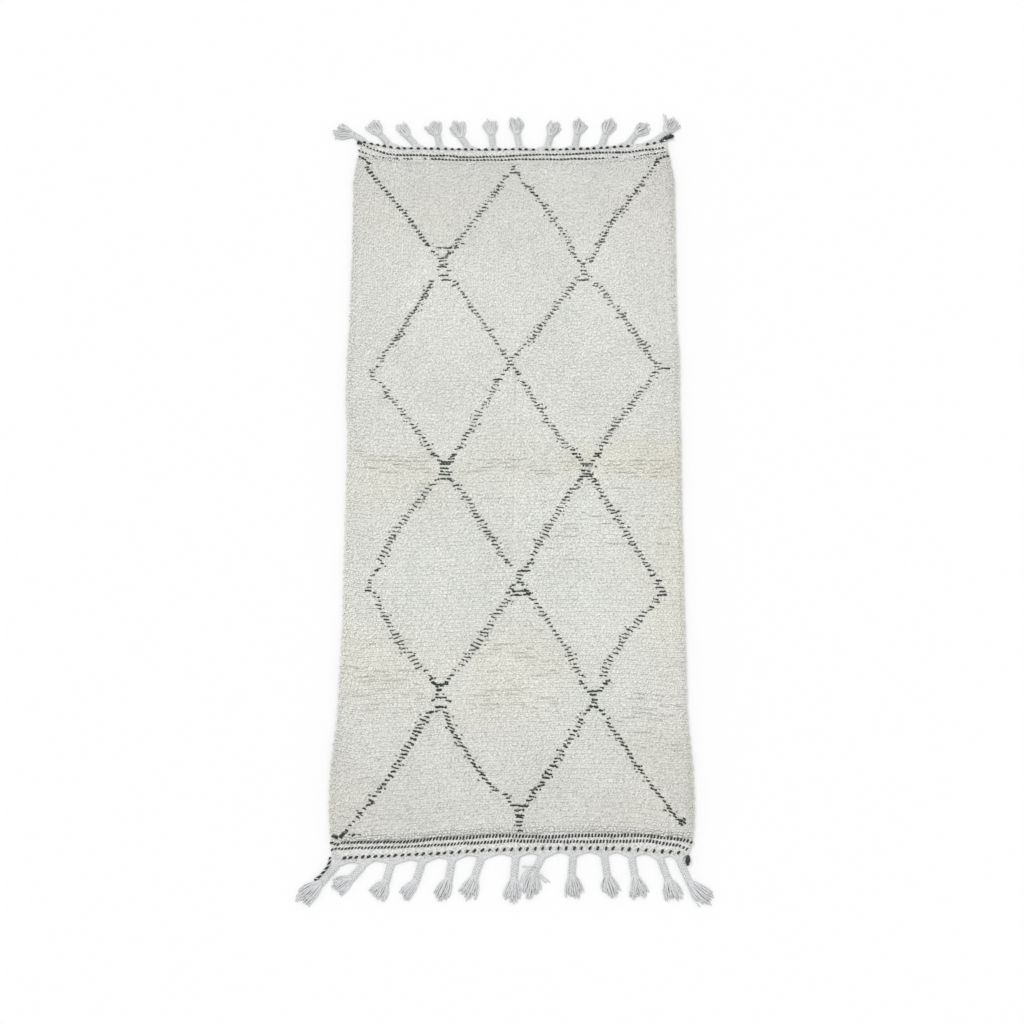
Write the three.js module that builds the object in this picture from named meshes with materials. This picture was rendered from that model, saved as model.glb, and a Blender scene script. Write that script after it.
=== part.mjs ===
// A hand-knotted wool runner lying flat on the floor. A field of short pile lies between two flat-woven
// ends, and the warps are plaited into tassels along both ends. Millimetres. +Z is up, +Y runs along the
// runner's length, and the origin is at the middle of its underside.
import * as THREE from "three";
import { mergeVertices } from "three/addons/utils/BufferGeometryUtils.js";

// Sizes across the thickness
const PILE_TOP = 14.6;
const PILE_LUMP = 0.9;
const PILE_SHOULDER = 12.2;
const PILE_WAIST = 6.5;
const PILE_FOOT_INSET = 5;
const PILE_SHOULDER_INSET = 4;
const WEAVE_TOP = 4.4;
const WEAVE_WAIST = 2.2;
const WEAVE_INSET = 1;
const TWINED_TOP = 6;
const TWINED_HALF_WIDTH = 2.6;
const EDGE_BAND = 0.6;

// The clearance between neighbouring solids
const GAP = 0.38;

// The long sides, read along the length. They bow a little, as a loom-woven edge does.
const SIDES = [
  { along: -905, left: -400, right: 391 },
  { along: -880, left: -404, right: 402 },
  { along: -800, left: -411, right: 409 },
  { along: -700, left: -410, right: 408 },
  { along: -600, left: -400, right: 400 },
  { along: -360, left: -394, right: 401 },
  { along: -90, left: -396, right: 403 },
  { along: 100, left: -397, right: 407 },
  { along: 190, left: -405, right: 407 },
  { along: 310, left: -405, right: 411 },
  { along: 400, left: -402, right: 407 },
  { along: 650, left: -402, right: 412 },
  { along: 800, left: -405, right: 414 },
  { along: 862, left: -397, right: 405 },
  { along: 910, left: -386, right: 399 },
];

// Where the warps part between one tassel and the next, with the rug's corners first and last
const NEAR_EDGE = [
  { across: -400, along: -905 },
  { across: -353, along: -919 },
  { across: -303, along: -916 },
  { across: -226, along: -914 },
  { across: -164, along: -909 },
  { across: -97, along: -904 },
  { across: -26, along: -901 },
  { across: 40, along: -900 },
  { across: 106, along: -897 },
  { across: 171, along: -897 },
  { across: 232, along: -898 },
  { across: 296, along: -901 },
  { across: 350, along: -906 },
  { across: 391, along: -903 },
];
const FAR_EDGE = [
  { across: -386, along: 908 },
  { across: -349, along: 906 },
  { across: -277, along: 900 },
  { across: -213, along: 897 },
  { across: -149, along: 895 },
  { across: -79, along: 894 },
  { across: -15, along: 894 },
  { across: 54, along: 895 },
  { across: 123, along: 895 },
  { across: 195, along: 898 },
  { across: 259, along: 903 },
  { across: 328, along: 909 },
  { across: 399, along: 914 },
];

// Each end, from its edge inwards: the middle of each twined row, and the foot of the pile
const ENDS = {
  near: { outward: -1, twined: [8, 27.5, 40], pileFoot: 44.5, cornerSqueeze: 0.18 },
  far: { outward: 1, twined: [3.2, 21.5, 32], pileFoot: 40, cornerSqueeze: 0.22 },
};

// The end rows draw together over this much of the width beside each long side
const HALF_WIDTH = 400;
const CORNER_REACH = 130;

// The pile rises from its foot in two steps
const PILE_SLOPE = [
  { inside: 2.5, height: 11 },
  { inside: 9, height: PILE_TOP },
];

// The pile's field between the two ends, cut into cross-sections
const FIELD_HALF_LENGTH = 800;
const FIELD_STATIONS = 18;

// The long waves and the short ones that the pile lies in
const LONG_WAVE_ACROSS = 61;
const LONG_WAVE_ALONG = 73;
const LONG_WAVE_DRIFT = 97;
const SHORT_WAVE_ALONG = 31;
const SHORT_WAVE_ACROSS = 140;
const LONG_WAVE_SHARE = 0.65;

// Each tassel: where its web has drawn in to the plait, where the plait ends, the middle of the tuft's
// tips, and the tuft's width
const FAR_TASSELS = [
  { neckX: -382, neckY: 920, headX: -408, headY: 938, tipX: -457, tipY: 950, spread: 46 },
  { neckX: -319, neckY: 914, headX: -340, headY: 939, tipX: -365, tipY: 973, spread: 43 },
  { neckX: -249, neckY: 911, headX: -268, headY: 932, tipX: -290, tipY: 969, spread: 35 },
  { neckX: -187, neckY: 908, headX: -193, headY: 937, tipX: -207, tipY: 974, spread: 47 },
  { neckX: -116, neckY: 907, headX: -131, headY: 929, tipX: -144, tipY: 975, spread: 47 },
  { neckX: -50, neckY: 906, headX: -53, headY: 937, tipX: -58, tipY: 980, spread: 37 },
  { neckX: 18, neckY: 907, headX: 12, headY: 940, tipX: 9, tipY: 987, spread: 40 },
  { neckX: 91, neckY: 907, headX: 98, headY: 934, tipX: 112, tipY: 976, spread: 38 },
  { neckX: 162, neckY: 908, headX: 167, headY: 938, tipX: 177, tipY: 980, spread: 40 },
  { neckX: 231, neckY: 911, headX: 241, headY: 940, tipX: 256, tipY: 982, spread: 36 },
  { neckX: 302, neckY: 917, headX: 318, headY: 939, tipX: 350, tipY: 967, spread: 38 },
  { neckX: 372, neckY: 924, headX: 397, headY: 942, tipX: 423, tipY: 982, spread: 47 },
];
const NEAR_TASSELS = [
  { neckX: -392, neckY: -930, headX: -422, headY: -965, tipX: -464, tipY: -1005, spread: 38 },
  { neckX: -332, neckY: -929, headX: -355, headY: -955, tipX: -392, tipY: -979, spread: 40 },
  { neckX: -269, neckY: -927, headX: -278, headY: -961, tipX: -300, tipY: -996, spread: 44 },
  { neckX: -201, neckY: -924, headX: -212, headY: -960, tipX: -239, tipY: -996, spread: 33 },
  { neckX: -134, neckY: -919, headX: -140, headY: -956, tipX: -160, tipY: -1000, spread: 37 },
  { neckX: -70, neckY: -914, headX: -83, headY: -951, tipX: -102, tipY: -995, spread: 41 },
  { neckX: 8, neckY: -912, headX: 3, headY: -955, tipX: -7, tipY: -1005, spread: 33 },
  { neckX: 64, neckY: -911, headX: 47, headY: -944, tipX: 39, tipY: -995, spread: 44 },
  { neckX: 135, neckY: -909, headX: 131, headY: -947, tipX: 138, tipY: -997, spread: 41 },
  { neckX: 205, neckY: -909, headX: 210, headY: -949, tipX: 224, tipY: -994, spread: 39 },
  { neckX: 265, neckY: -911, headX: 271, headY: -950, tipX: 281, tipY: -997, spread: 46 },
  { neckX: 329, neckY: -915, headX: 344, headY: -956, tipX: 360, tipY: -1003, spread: 43 },
  { neckX: 371.5, neckY: -917, headX: 391, headY: -963, tipX: 434, tipY: -1007, spread: 36 },
];
const NECK_HALF_WIDTH = 7.5;
const NECK_HEIGHT = 6.4;
const NECK_TURNS = 6;
const NECK_FOOT_INSET = 0.12;
const TIE_HALF_WIDTH = 8.6;
const TIE_HEIGHT = 8.4;
const RIDGE_SWAY = 0.4;
const RIDGE_AHEAD = 0.8;
const SHOULDER_SWAY = 0.16;

// The web narrows from the bay's width to the neck's over these shares of its length
const WEB_STEPS = [0, 0.35, 0.7];
const WEB_HEIGHT = 4;
const WEB_CURVE = 2.4;
const WEB_SHOULDER = 0.85;
const NECK_SHOULDER = 0.56;

// The loose strands of a tuft: 12 to a tassel, so 300 in all
const STRANDS = 12;
const STRAND_FORK = 0.34;
const STRAND_BEND = 0.7;
const FORK_HEIGHT = 8;
const BEND_HEIGHT = 6.2;
const STRAND_TIP_HEIGHT = 3.6;
const STRAND_FILL = 0.7;
const STRAND_TIP_FILL = 0.58;
const STRAND_SWING = 0.1;
const STRAND_UNEVEN = 0.07;
const TUFT_ROUNDING = 0.2;
const TUFT_SLOPE = 0.3;
const HEAD_FLARE = 0.6;

// The dark yarn ends tied off at the corners, each a short path with its half width and height
const YARN_ENDS = {
  knot_far_left: [
    { x: -396.4, y: 911.2, half: 2.4, height: 3.6 },
    { x: -393.2, y: 913.4, half: 3.7, height: 7 },
    { x: -389.6, y: 914.1, half: 2.8, height: 5 },
  ],
  knot_far_right: [
    { x: 389, y: 922, half: 2.4, height: 5 },
    { x: 393.7, y: 924.8, half: 4.4, height: 8 },
    { x: 401, y: 927.6, half: 3.4, height: 5.4 },
    { x: 409, y: 931, half: 5.2, height: 8.6 },
    { x: 415, y: 934, half: 2.6, height: 4.6 },
  ],
  plait_near_left: [
    { x: -403, y: -908.5, half: 2.4, height: 4 },
    { x: -403.5, y: -918, half: 3.2, height: 5.6 },
    { x: -407.5, y: -928.5, half: 2.9, height: 4.8 },
    { x: -414, y: -937.5, half: 3.4, height: 5.6 },
    { x: -420.8, y: -946.2, half: 3, height: 5 },
    { x: -427.8, y: -953.2, half: 3.5, height: 5.6 },
    { x: -436, y: -958, half: 2, height: 3.4 },
  ],
  knot_near_right: [
    { x: 391.3, y: -905.8, half: 2.8, height: 5 },
    { x: 389.6, y: -911.5, half: 4, height: 8.4 },
    { x: 388.6, y: -919, half: 4.2, height: 7 },
    { x: 388.6, y: -926, half: 2, height: 3.4 },
  ],
};

const WOOL = { color: 0xd9d8cf, roughness: 0.95, metalness: 0 };
const WARP_YARN = { color: 0xd6d6d4, roughness: 0.9, metalness: 0 };
const CHARCOAL_YARN = { color: 0x2b2d28, roughness: 0.9, metalness: 0 };

const mix = (a, b, t) => a + (b - a) * t;
const clamp01 = (t) => Math.min(1, Math.max(0, t));

// A value between -1 and 1 that varies from one strand to the next, always the same
function vary(index, salt) {
  const wave = Math.sin(index * 12.9898 + salt * 78.233) * 43758.5453;
  return 2 * (wave - Math.floor(wave)) - 1;
}

// The side of the rug at a place along its length
function side(along, name) {
  const last = SIDES.length - 1;
  const next = SIDES.findIndex((row) => row.along > along);
  const index = next < 0 ? last : Math.max(1, next);
  const before = SIDES[index - 1];
  const after = SIDES[index];
  const t = clamp01((along - before.along) / (after.along - before.along));
  return mix(before[name], after[name], t);
}

// Both ends need as many columns as the near end has, so the far end's last bay is halved.
function edgeColumns(edge) {
  const columns = [...edge];
  while (columns.length < NEAR_EDGE.length) {
    const last = columns.length - 1;
    const across = mix(columns[last - 1].across, columns[last].across, 0.5);
    const along = mix(columns[last - 1].along, columns[last].along, 0.5);
    columns.splice(last, 0, { across, along });
  }
  return columns;
}

const COLUMNS = NEAR_EDGE.length;
const LAST = COLUMNS - 1;
const nearColumns = edgeColumns(NEAR_EDGE);
const farColumns = edgeColumns(FAR_EDGE);

// How far a column lies between the two sides, from 0 to 1
function columnFraction(columns, index) {
  const left = columns[0].across;
  const right = columns[LAST].across;
  return (columns[index].across - left) / (right - left);
}

// How near a place is to a corner, from 0 in the middle of an end to 1 at the corner
function cornerness(across) {
  const t = clamp01(1 - (HALF_WIDTH - Math.abs(across)) / CORNER_REACH);
  return t * t * (3 - 2 * t);
}

// A point of an end, at a distance inside its edge
function endPoint(end, column, inside) {
  const columns = end.outward < 0 ? nearColumns : farColumns;
  const { across, along } = columns[column];
  const drawnIn = inside * (1 - end.cornerSqueeze * cornerness(across));
  const y = along - end.outward * drawnIn;
  const fraction = columnFraction(columns, column);
  const atSide = mix(side(y, "left"), side(y, "right"), fraction);
  const x = inside > 0 ? atSide : across;
  return new THREE.Vector2(x, y);
}

// The pile's height: it lies in soft low lumps
function pileHeight(x, y) {
  const drift = Math.sin(y / LONG_WAVE_DRIFT);
  const long = Math.sin(x / LONG_WAVE_ACROSS + drift) * Math.cos(y / LONG_WAVE_ALONG);
  const short = Math.sin(y / SHORT_WAVE_ALONG + x / SHORT_WAVE_ACROSS);
  return PILE_TOP + PILE_LUMP * mix(short, long, LONG_WAVE_SHARE);
}

// Collects triangles and turns them into one closed geometry.
class Shell {
  constructor() {
    this.corners = [];
  }

  triangle(a, b, c) {
    if (a.equals(b) || b.equals(c) || c.equals(a)) return;
    this.corners.push(a, b, c);
  }

  // The surface between two rows of points, which may have different counts
  stitch(rowA, rowB) {
    const stepsA = rowA.length - 1;
    const stepsB = rowB.length - 1;
    let i = 0;
    let j = 0;
    while (i < stepsA || j < stepsB) {
      const aFirst = (i + 1) / stepsA <= (j + 1) / stepsB;
      if (i < stepsA && (j === stepsB || aFirst)) {
        this.triangle(rowA[i], rowA[i + 1], rowB[j]);
        i += 1;
      } else {
        this.triangle(rowA[i], rowB[j + 1], rowB[j]);
        j += 1;
      }
    }
  }

  // A flat or nearly flat polygon, given anticlockwise from above, facing up or down
  plate(points, facesUp) {
    const plan = points.map((point) => new THREE.Vector2(point.x, point.y));
    for (const [i, j, k] of THREE.ShapeUtils.triangulateShape(plan, [])) {
      const first = plan[j].clone().sub(plan[i]);
      const second = plan[k].clone().sub(plan[i]);
      const anticlockwise = first.cross(second) > 0;
      if (anticlockwise === facesUp) this.triangle(points[i], points[j], points[k]);
      else this.triangle(points[i], points[k], points[j]);
    }
  }

  geometry() {
    const points = new THREE.BufferGeometry().setFromPoints(this.corners);
    const geometry = mergeVertices(points, 1e-4);
    geometry.computeVertexNormals();
    return geometry;
  }
}

function makeMesh(name, shell, material) {
  const mesh = new THREE.Mesh(shell.geometry(), new THREE.MeshStandardMaterial(material));
  mesh.name = name;
  return mesh;
}

// The rug, one cross-section after another from the near end to the far end
function rugStations() {
  const fromEnd = (end) => {
    const stations = [{ end, inside: 0, height: WEAVE_TOP, pile: false }];
    for (const middle of end.twined) {
      const before = Math.max(middle - TWINED_HALF_WIDTH, EDGE_BAND);
      stations.push({ end, inside: before, height: WEAVE_TOP, pile: false });
      stations.push({ end, inside: middle, height: TWINED_TOP, pile: false });
      stations.push({ end, inside: middle + TWINED_HALF_WIDTH, height: WEAVE_TOP, pile: false });
    }
    stations.push({ end, inside: end.pileFoot, height: WEAVE_TOP, pile: false });
    for (const step of PILE_SLOPE) {
      stations.push({ end, inside: end.pileFoot + step.inside, height: step.height, pile: true });
    }
    return stations;
  };
  const field = [];
  for (let i = 0; i < FIELD_STATIONS; i += 1) {
    const t = i / (FIELD_STATIONS - 1);
    const along = mix(-FIELD_HALF_LENGTH, FIELD_HALF_LENGTH, t);
    field.push({ along, fraction: t, height: PILE_TOP, pile: true });
  }
  return [...fromEnd(ENDS.near), ...field, ...fromEnd(ENDS.far).reverse()];
}

// The plan of one cross-section, a point for each column
function stationPlan(station) {
  const plan = [];
  for (let column = 0; column < COLUMNS; column += 1) {
    if (station.end) {
      plan.push(endPoint(station.end, column, station.inside));
    } else {
      const near = columnFraction(nearColumns, column);
      const far = columnFraction(farColumns, column);
      const fraction = mix(near, far, station.fraction);
      const x = mix(side(station.along, "left"), side(station.along, "right"), fraction);
      plan.push(new THREE.Vector2(x, station.along));
    }
  }
  return plan;
}

function makeRug() {
  const shell = new Shell();
  const sections = rugStations().map((station) => {
    const plan = stationPlan(station);
    const left = plan[0];
    const right = plan[LAST];
    const waist = station.pile ? PILE_WAIST : WEAVE_WAIST;
    const footInset = station.pile ? PILE_FOOT_INSET : WEAVE_INSET;
    const topInset = station.pile ? PILE_SHOULDER_INSET : WEAVE_INSET;
    const top = plan.map((point, column) => {
      const outer = column === 0 || column === LAST;
      const inset = column === 0 ? topInset : column === LAST ? -topInset : 0;
      const x = point.x + inset;
      const lumpy = station.height === PILE_TOP ? pileHeight(x, point.y) : station.height;
      const z = outer && station.pile ? Math.min(PILE_SHOULDER, lumpy) : lumpy;
      return new THREE.Vector3(x, point.y, z);
    });
    const floor = plan.map((point, column) => {
      const inset = column === 0 ? footInset : column === LAST ? -footInset : 0;
      return new THREE.Vector3(point.x + inset, point.y, 0);
    });
    const leftWaist = new THREE.Vector3(left.x, left.y, waist);
    const rightWaist = new THREE.Vector3(right.x, right.y, waist);
    const ring = [floor[0], leftWaist, ...top, rightWaist, floor[LAST]];
    const straight = !station.end;
    return { ring, top, leftWaist, rightWaist, floor: straight ? [floor[0], floor[LAST]] : floor };
  });
  for (let i = 1; i < sections.length; i += 1) {
    shell.stitch(sections[i - 1].ring, sections[i].ring);
    shell.stitch([...sections[i - 1].floor].reverse(), [...sections[i].floor].reverse());
  }
  const near = sections[0];
  const far = sections[sections.length - 1];
  shell.stitch(near.floor, near.top);
  shell.triangle(near.floor[0], near.top[0], near.leftWaist);
  shell.triangle(near.floor[LAST], near.rightWaist, near.top[LAST]);
  shell.stitch(far.top, far.floor);
  shell.triangle(far.floor[0], far.leftWaist, far.top[0]);
  shell.triangle(far.floor[LAST], far.top[LAST], far.rightWaist);
  return makeMesh("rug", shell, WOOL);
}

// One cross-section of a neck or a yarn end: five points from the left foot over the ridge to the right
// foot. shoulder is the sides' share of the height, footInset draws in the feet, and lean is the way the
// ridge leans, from -1 at the left to 1 at the right.
function ringAcross(centre, forward, shape) {
  const { half, height, shoulder = NECK_SHOULDER, footInset = 0, lean = 0 } = shape;
  const leftward = new THREE.Vector2(-forward.y, forward.x);
  const at = (sideways, ahead, z) => {
    const x = centre.x + leftward.x * sideways + forward.x * ahead;
    const y = centre.y + leftward.y * sideways + forward.y * ahead;
    return new THREE.Vector3(x, y, z);
  };
  const foot = half * (1 - footInset);
  const leftHeight = height * (shoulder - SHOULDER_SWAY * lean);
  const rightHeight = height * (shoulder + SHOULDER_SWAY * lean);
  return [
    at(foot, 0, 0),
    at(half, 0, leftHeight),
    at(-RIDGE_SWAY * lean * half, RIDGE_AHEAD, height),
    at(-half, 0, rightHeight),
    at(-foot, 0, 0),
  ];
}

function addLoft(shell, rings) {
  for (let i = 1; i < rings.length; i += 1) {
    shell.stitch(rings[i - 1], rings[i]);
    const floorBefore = [rings[i - 1][4], rings[i - 1][0]];
    const floorAfter = [rings[i][4], rings[i][0]];
    shell.stitch(floorBefore, floorAfter);
  }
}

function addCap(shell, ring, facesForward) {
  for (let i = 1; i < ring.length - 1; i += 1) {
    if (facesForward) shell.triangle(ring[0], ring[i], ring[i + 1]);
    else shell.triangle(ring[0], ring[i + 1], ring[i]);
  }
}

// The web at the cloth's edge and the plaited neck, as far as the tie where the tuft starts
function neckRings(end, bayLeft, bayRight, row) {
  const edge = new THREE.Vector2().subVectors(bayRight, bayLeft);
  const along = edge.clone().normalize();
  const out = new THREE.Vector2(-along.y, along.x).multiplyScalar(end.outward);
  const middle = bayLeft.clone().lerp(bayRight, 0.5).addScaledVector(out, GAP);
  const bayHalf = edge.length() / 2 - GAP * 0.6;
  const neck = new THREE.Vector2(row.neckX, row.neckY);
  const head = new THREE.Vector2(row.headX, row.headY);
  const tip = new THREE.Vector2(row.tipX, row.tipY);
  const neckWay = new THREE.Vector2().subVectors(head, neck).normalize();
  const tuftWay = new THREE.Vector2().subVectors(tip, head).normalize();
  const rings = WEB_STEPS.map((t) => {
    const centre = middle.clone().lerp(neck, t);
    const forward = out.clone().lerp(neckWay, t * t).normalize();
    const half = mix(NECK_HALF_WIDTH, bayHalf, (1 - t) ** WEB_CURVE);
    const height = mix(WEB_HEIGHT, NECK_HEIGHT, t);
    const shoulder = mix(WEB_SHOULDER, NECK_SHOULDER, t);
    const ring = ringAcross(centre, forward, { half, height, shoulder });
    if (t === 0) ring[2].copy(ring[1]).lerp(ring[3], 0.5).setZ(height);
    return ring;
  });
  for (let turn = 0; turn <= NECK_TURNS; turn += 1) {
    const t = turn / NECK_TURNS;
    const tied = turn === NECK_TURNS - 1;
    const last = turn === NECK_TURNS;
    const centre = neck.clone().lerp(head, t);
    const forward = neckWay.clone().lerp(tuftWay, last ? 0.6 : 0).normalize();
    const lean = tied || last ? 0 : turn % 2 === 0 ? 1 : -1;
    const half = tied ? TIE_HALF_WIDTH : NECK_HALF_WIDTH;
    const height = tied || last ? TIE_HEIGHT : NECK_HEIGHT;
    rings.push(ringAcross(centre, forward, { half, height, lean, footInset: NECK_FOOT_INSET }));
  }
  return rings;
}

// The tuft's outline, anticlockwise from above, from the right side of its head to the left
function tuftOutline(row, salt) {
  const head = new THREE.Vector2(row.headX, row.headY);
  const way = new THREE.Vector2(row.tipX, row.tipY).sub(head);
  const length = way.length();
  way.normalize();
  const leftward = new THREE.Vector2(-way.y, way.x);
  const headHalf = NECK_HALF_WIDTH + HEAD_FLARE;
  const halfAt = (r) => mix(headHalf, row.spread / 2, 1 - (1 - r) ** 2);
  const place = (s, r, reach, height) => {
    const ahead = length * r * (1 - TUFT_ROUNDING * s * s) * reach;
    const sideways = halfAt(r) * s;
    const x = head.x + way.x * ahead + leftward.x * sideways;
    const y = head.y + way.y * ahead + leftward.y * sideways;
    return new THREE.Vector3(x, y, height * (1 - TUFT_SLOPE * s * s));
  };
  const pitch = 2 / STRANDS;
  const outline = [];
  for (let i = 0; i < STRANDS; i += 1) {
    const fork = -1 + i * pitch;
    const middle = fork + pitch / 2;
    const swing = STRAND_SWING * pitch * vary(i, salt);
    const reach = 1 + STRAND_UNEVEN * vary(i, salt + STRANDS);
    const bend = (STRAND_FILL * pitch) / 2;
    const tip = (STRAND_TIP_FILL * pitch) / 2;
    outline.push(place(fork, STRAND_FORK, 1, FORK_HEIGHT));
    outline.push(place(middle - bend, STRAND_BEND, reach, BEND_HEIGHT));
    outline.push(place(middle + swing - tip, 1, reach, STRAND_TIP_HEIGHT));
    outline.push(place(middle + swing + tip, 1, reach, STRAND_TIP_HEIGHT));
    outline.push(place(middle + bend, STRAND_BEND, reach, BEND_HEIGHT));
  }
  outline.push(place(1, STRAND_FORK, 1, FORK_HEIGHT));
  return outline;
}

function addTuft(shell, lastRing, outline) {
  const [footLeft, left, ridge, right, footRight] = lastRing;
  const floor = outline.map((point) => new THREE.Vector3(point.x, point.y, 0));
  shell.stitch([footRight, ...floor, footLeft], [right, ...outline, left]);
  shell.plate([right, ...outline, left, ridge], true);
  shell.plate([footRight, ...floor, footLeft], false);
}

function makeTassel(name, end, bayLeft, bayRight, row, salt) {
  const shell = new Shell();
  const rings = neckRings(end, bayLeft, bayRight, row);
  addCap(shell, rings[0], false);
  addLoft(shell, rings);
  addTuft(shell, rings[rings.length - 1], tuftOutline(row, salt));
  return makeMesh(name, shell, WARP_YARN);
}

function makeTassels(end, rows, prefix) {
  return rows.map((row, index) => {
    const lastBay = index === rows.length - 1;
    const bayLeft = endPoint(end, index, 0);
    const bayRight = endPoint(end, lastBay ? LAST : index + 1, 0);
    const name = `${prefix}_${String(index + 1).padStart(2, "0")}`;
    return makeTassel(name, end, bayLeft, bayRight, row, index + 3 * end.outward);
  });
}

function makeYarnEnd(name, path) {
  const shell = new Shell();
  const rings = path.map((spot, index) => {
    const before = path[Math.max(0, index - 1)];
    const after = path[Math.min(path.length - 1, index + 1)];
    const forward = new THREE.Vector2(after.x - before.x, after.y - before.y).normalize();
    const shape = { half: spot.half, height: spot.height, footInset: 0.2 };
    return ringAcross(new THREE.Vector2(spot.x, spot.y), forward, shape);
  });
  addCap(shell, rings[0], false);
  addLoft(shell, rings);
  addCap(shell, rings[rings.length - 1], true);
  return makeMesh(name, shell, CHARCOAL_YARN);
}

const runner = new THREE.Group();
runner.add(makeRug());
runner.add(...makeTassels(ENDS.far, FAR_TASSELS, "tassel_far"));
runner.add(...makeTassels(ENDS.near, NEAR_TASSELS, "tassel_near"));
for (const [name, path] of Object.entries(YARN_ENDS)) {
  runner.add(makeYarnEnd(name, path));
}

export default runner;
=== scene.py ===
# A hand-knotted wool runner with a charcoal diamond lattice. It lies flat on a pale floor, and its warps
# are plaited into tassels along both ends. The tables are in millimetres, and the pieces are in metres.
import math

import bpy
import numpy as np
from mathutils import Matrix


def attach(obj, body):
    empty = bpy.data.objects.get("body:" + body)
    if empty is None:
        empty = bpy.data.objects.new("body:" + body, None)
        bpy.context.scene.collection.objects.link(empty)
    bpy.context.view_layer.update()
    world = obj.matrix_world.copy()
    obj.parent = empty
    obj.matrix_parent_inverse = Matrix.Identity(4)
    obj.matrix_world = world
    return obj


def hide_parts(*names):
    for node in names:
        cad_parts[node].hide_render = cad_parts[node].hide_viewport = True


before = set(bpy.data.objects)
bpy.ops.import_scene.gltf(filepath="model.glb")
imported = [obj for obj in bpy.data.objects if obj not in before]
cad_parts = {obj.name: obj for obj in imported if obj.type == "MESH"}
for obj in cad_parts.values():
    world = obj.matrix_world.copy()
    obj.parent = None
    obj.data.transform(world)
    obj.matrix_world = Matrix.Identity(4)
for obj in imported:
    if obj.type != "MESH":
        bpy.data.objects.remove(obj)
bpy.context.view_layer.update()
MM = 0.001
UP = np.array([0.0, 0.0, 1.0])
rng = np.random.default_rng(1807)

# The long sides, read along the length
SIDE_ALONG = (-905, -880, -800, -700, -600, -360, -90, 100, 190, 310, 400, 650, 800, 862, 910)
SIDE_LEFT = (-400, -404, -411, -410, -400, -394, -396, -397, -405, -405, -402, -402, -405, -397, -386)
SIDE_RIGHT = (391, 402, 409, 408, 400, 401, 403, 407, 407, 411, 407, 412, 414, 405, 399)

# Where the warps part between one tassel and the next, with the rug's corners first and last
NEAR_ACROSS = (-400, -353, -303, -226, -164, -97, -26, 40, 106, 171, 232, 296, 350, 391)
NEAR_ALONG = (-905, -919, -916, -914, -909, -904, -901, -900, -897, -897, -898, -901, -906, -903)
FAR_ACROSS = (-386, -349, -277, -213, -149, -79, -15, 54, 123, 195, 259, 328, 399)
FAR_ALONG = (908, 906, 900, 897, 895, 894, 894, 895, 895, 898, 903, 909, 914)
NEAR_FOOT = 44.5
FAR_FOOT = 40
NEAR_SQUEEZE = 0.18
FAR_SQUEEZE = 0.22
HALF_WIDTH = 400
CORNER_REACH = 130

# Heights
WEAVE_TOP = 4.4
PILE_TOP = 14.2
PILE_LUMP = 0.8
LOWER_ROW_DROP = 0.9
LOWER_COLUMN_DROP = 0.7
WEFT_DEPTH = 0.75
BODY_DROP = 2.8

# The knot rows: every second row may carry the lattice, and the row between stands a little lower
PILE_ROWS = 326
PILE_COLUMNS = 130
TUFT_SIDES = 5
PILE_PARTS = 4
# The rows are beaten down closer in the middle of the rug than at a quarter and three quarters of it
ROW_PLACES = (0, 0.17, 0.34, 0.5, 0.66, 0.83, 1)
ROW_PITCHES = (10.6, 11.1, 9.8, 9.8, 10.3, 11.1, 10.4)


def mix(a, b, t):
    return a + (b - a) * t


def smooth(t):
    t = np.clip(t, 0, 1)
    return t * t * (3 - 2 * t)


def named_rows(columns, rows):
    """The rows of a table, each with its values under the table's column names."""
    return [dict(zip(columns, row)) for row in rows]


def lifted(plan, heights):
    """A path over the floor, with its heights."""
    return np.concatenate([plan, heights[..., None]], axis=-1)


def left_side(y):
    return np.interp(y, SIDE_ALONG, SIDE_LEFT)


def right_side(y):
    return np.interp(y, SIDE_ALONG, SIDE_RIGHT)


def near_line(x, inside):
    """The place along the length of a line that runs a distance inside the near edge."""
    corner = smooth(1 - (HALF_WIDTH - np.abs(x)) / CORNER_REACH)
    return np.interp(x, NEAR_ACROSS, NEAR_ALONG) + inside * (1 - NEAR_SQUEEZE * corner)


def far_line(x, inside):
    corner = smooth(1 - (HALF_WIDTH - np.abs(x)) / CORNER_REACH)
    return np.interp(x, FAR_ACROSS, FAR_ALONG) - inside * (1 - FAR_SQUEEZE * corner)


def end_line(end, x, inside):
    return near_line(x, inside) if end == "near" else far_line(x, inside)


def pile_place(u, v):
    """A place in the pile: u runs from the left side to the right, v from the near foot to the far."""
    x = mix(-HALF_WIDTH, HALF_WIDTH, u)
    for _ in range(3):
        y = mix(near_line(x, NEAR_FOOT), far_line(x, FAR_FOOT), v)
        x = mix(left_side(y), right_side(y), u)
    return x, y


ROW_AT = np.linspace(0, 1, 401)
ROW_COUNT = np.concatenate([[0], np.cumsum(1 / np.interp(ROW_AT[1:], ROW_PLACES, ROW_PITCHES))])
ROW_COUNT /= ROW_COUNT[-1]


def row_place(row):
    """How far along the pile a row stands, from 0 at the near foot to 1 at the far foot."""
    return np.interp((np.asarray(row, float) + 0.5) / PILE_ROWS, ROW_COUNT, ROW_AT)


def from_sides(x, y):
    """How far a place lies inside the nearer long side."""
    return np.minimum(x - left_side(y), right_side(y) - x)


def unit(vector):
    return vector / np.linalg.norm(vector)


def beside_line(start, way, along, aside):
    """Places along a straight line over the floor, each with its distance to the side."""
    return start + way * along[:, None] + np.array([-way[1], way[0]]) * aside[:, None]


def path_side(plan):
    """The direction to the side at each step of a path over the floor."""
    way = np.gradient(plan, axis=0)
    way /= np.linalg.norm(way, axis=1, keepdims=True)
    return np.stack([-way[:, 1], way[:, 0]], axis=-1)


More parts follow.
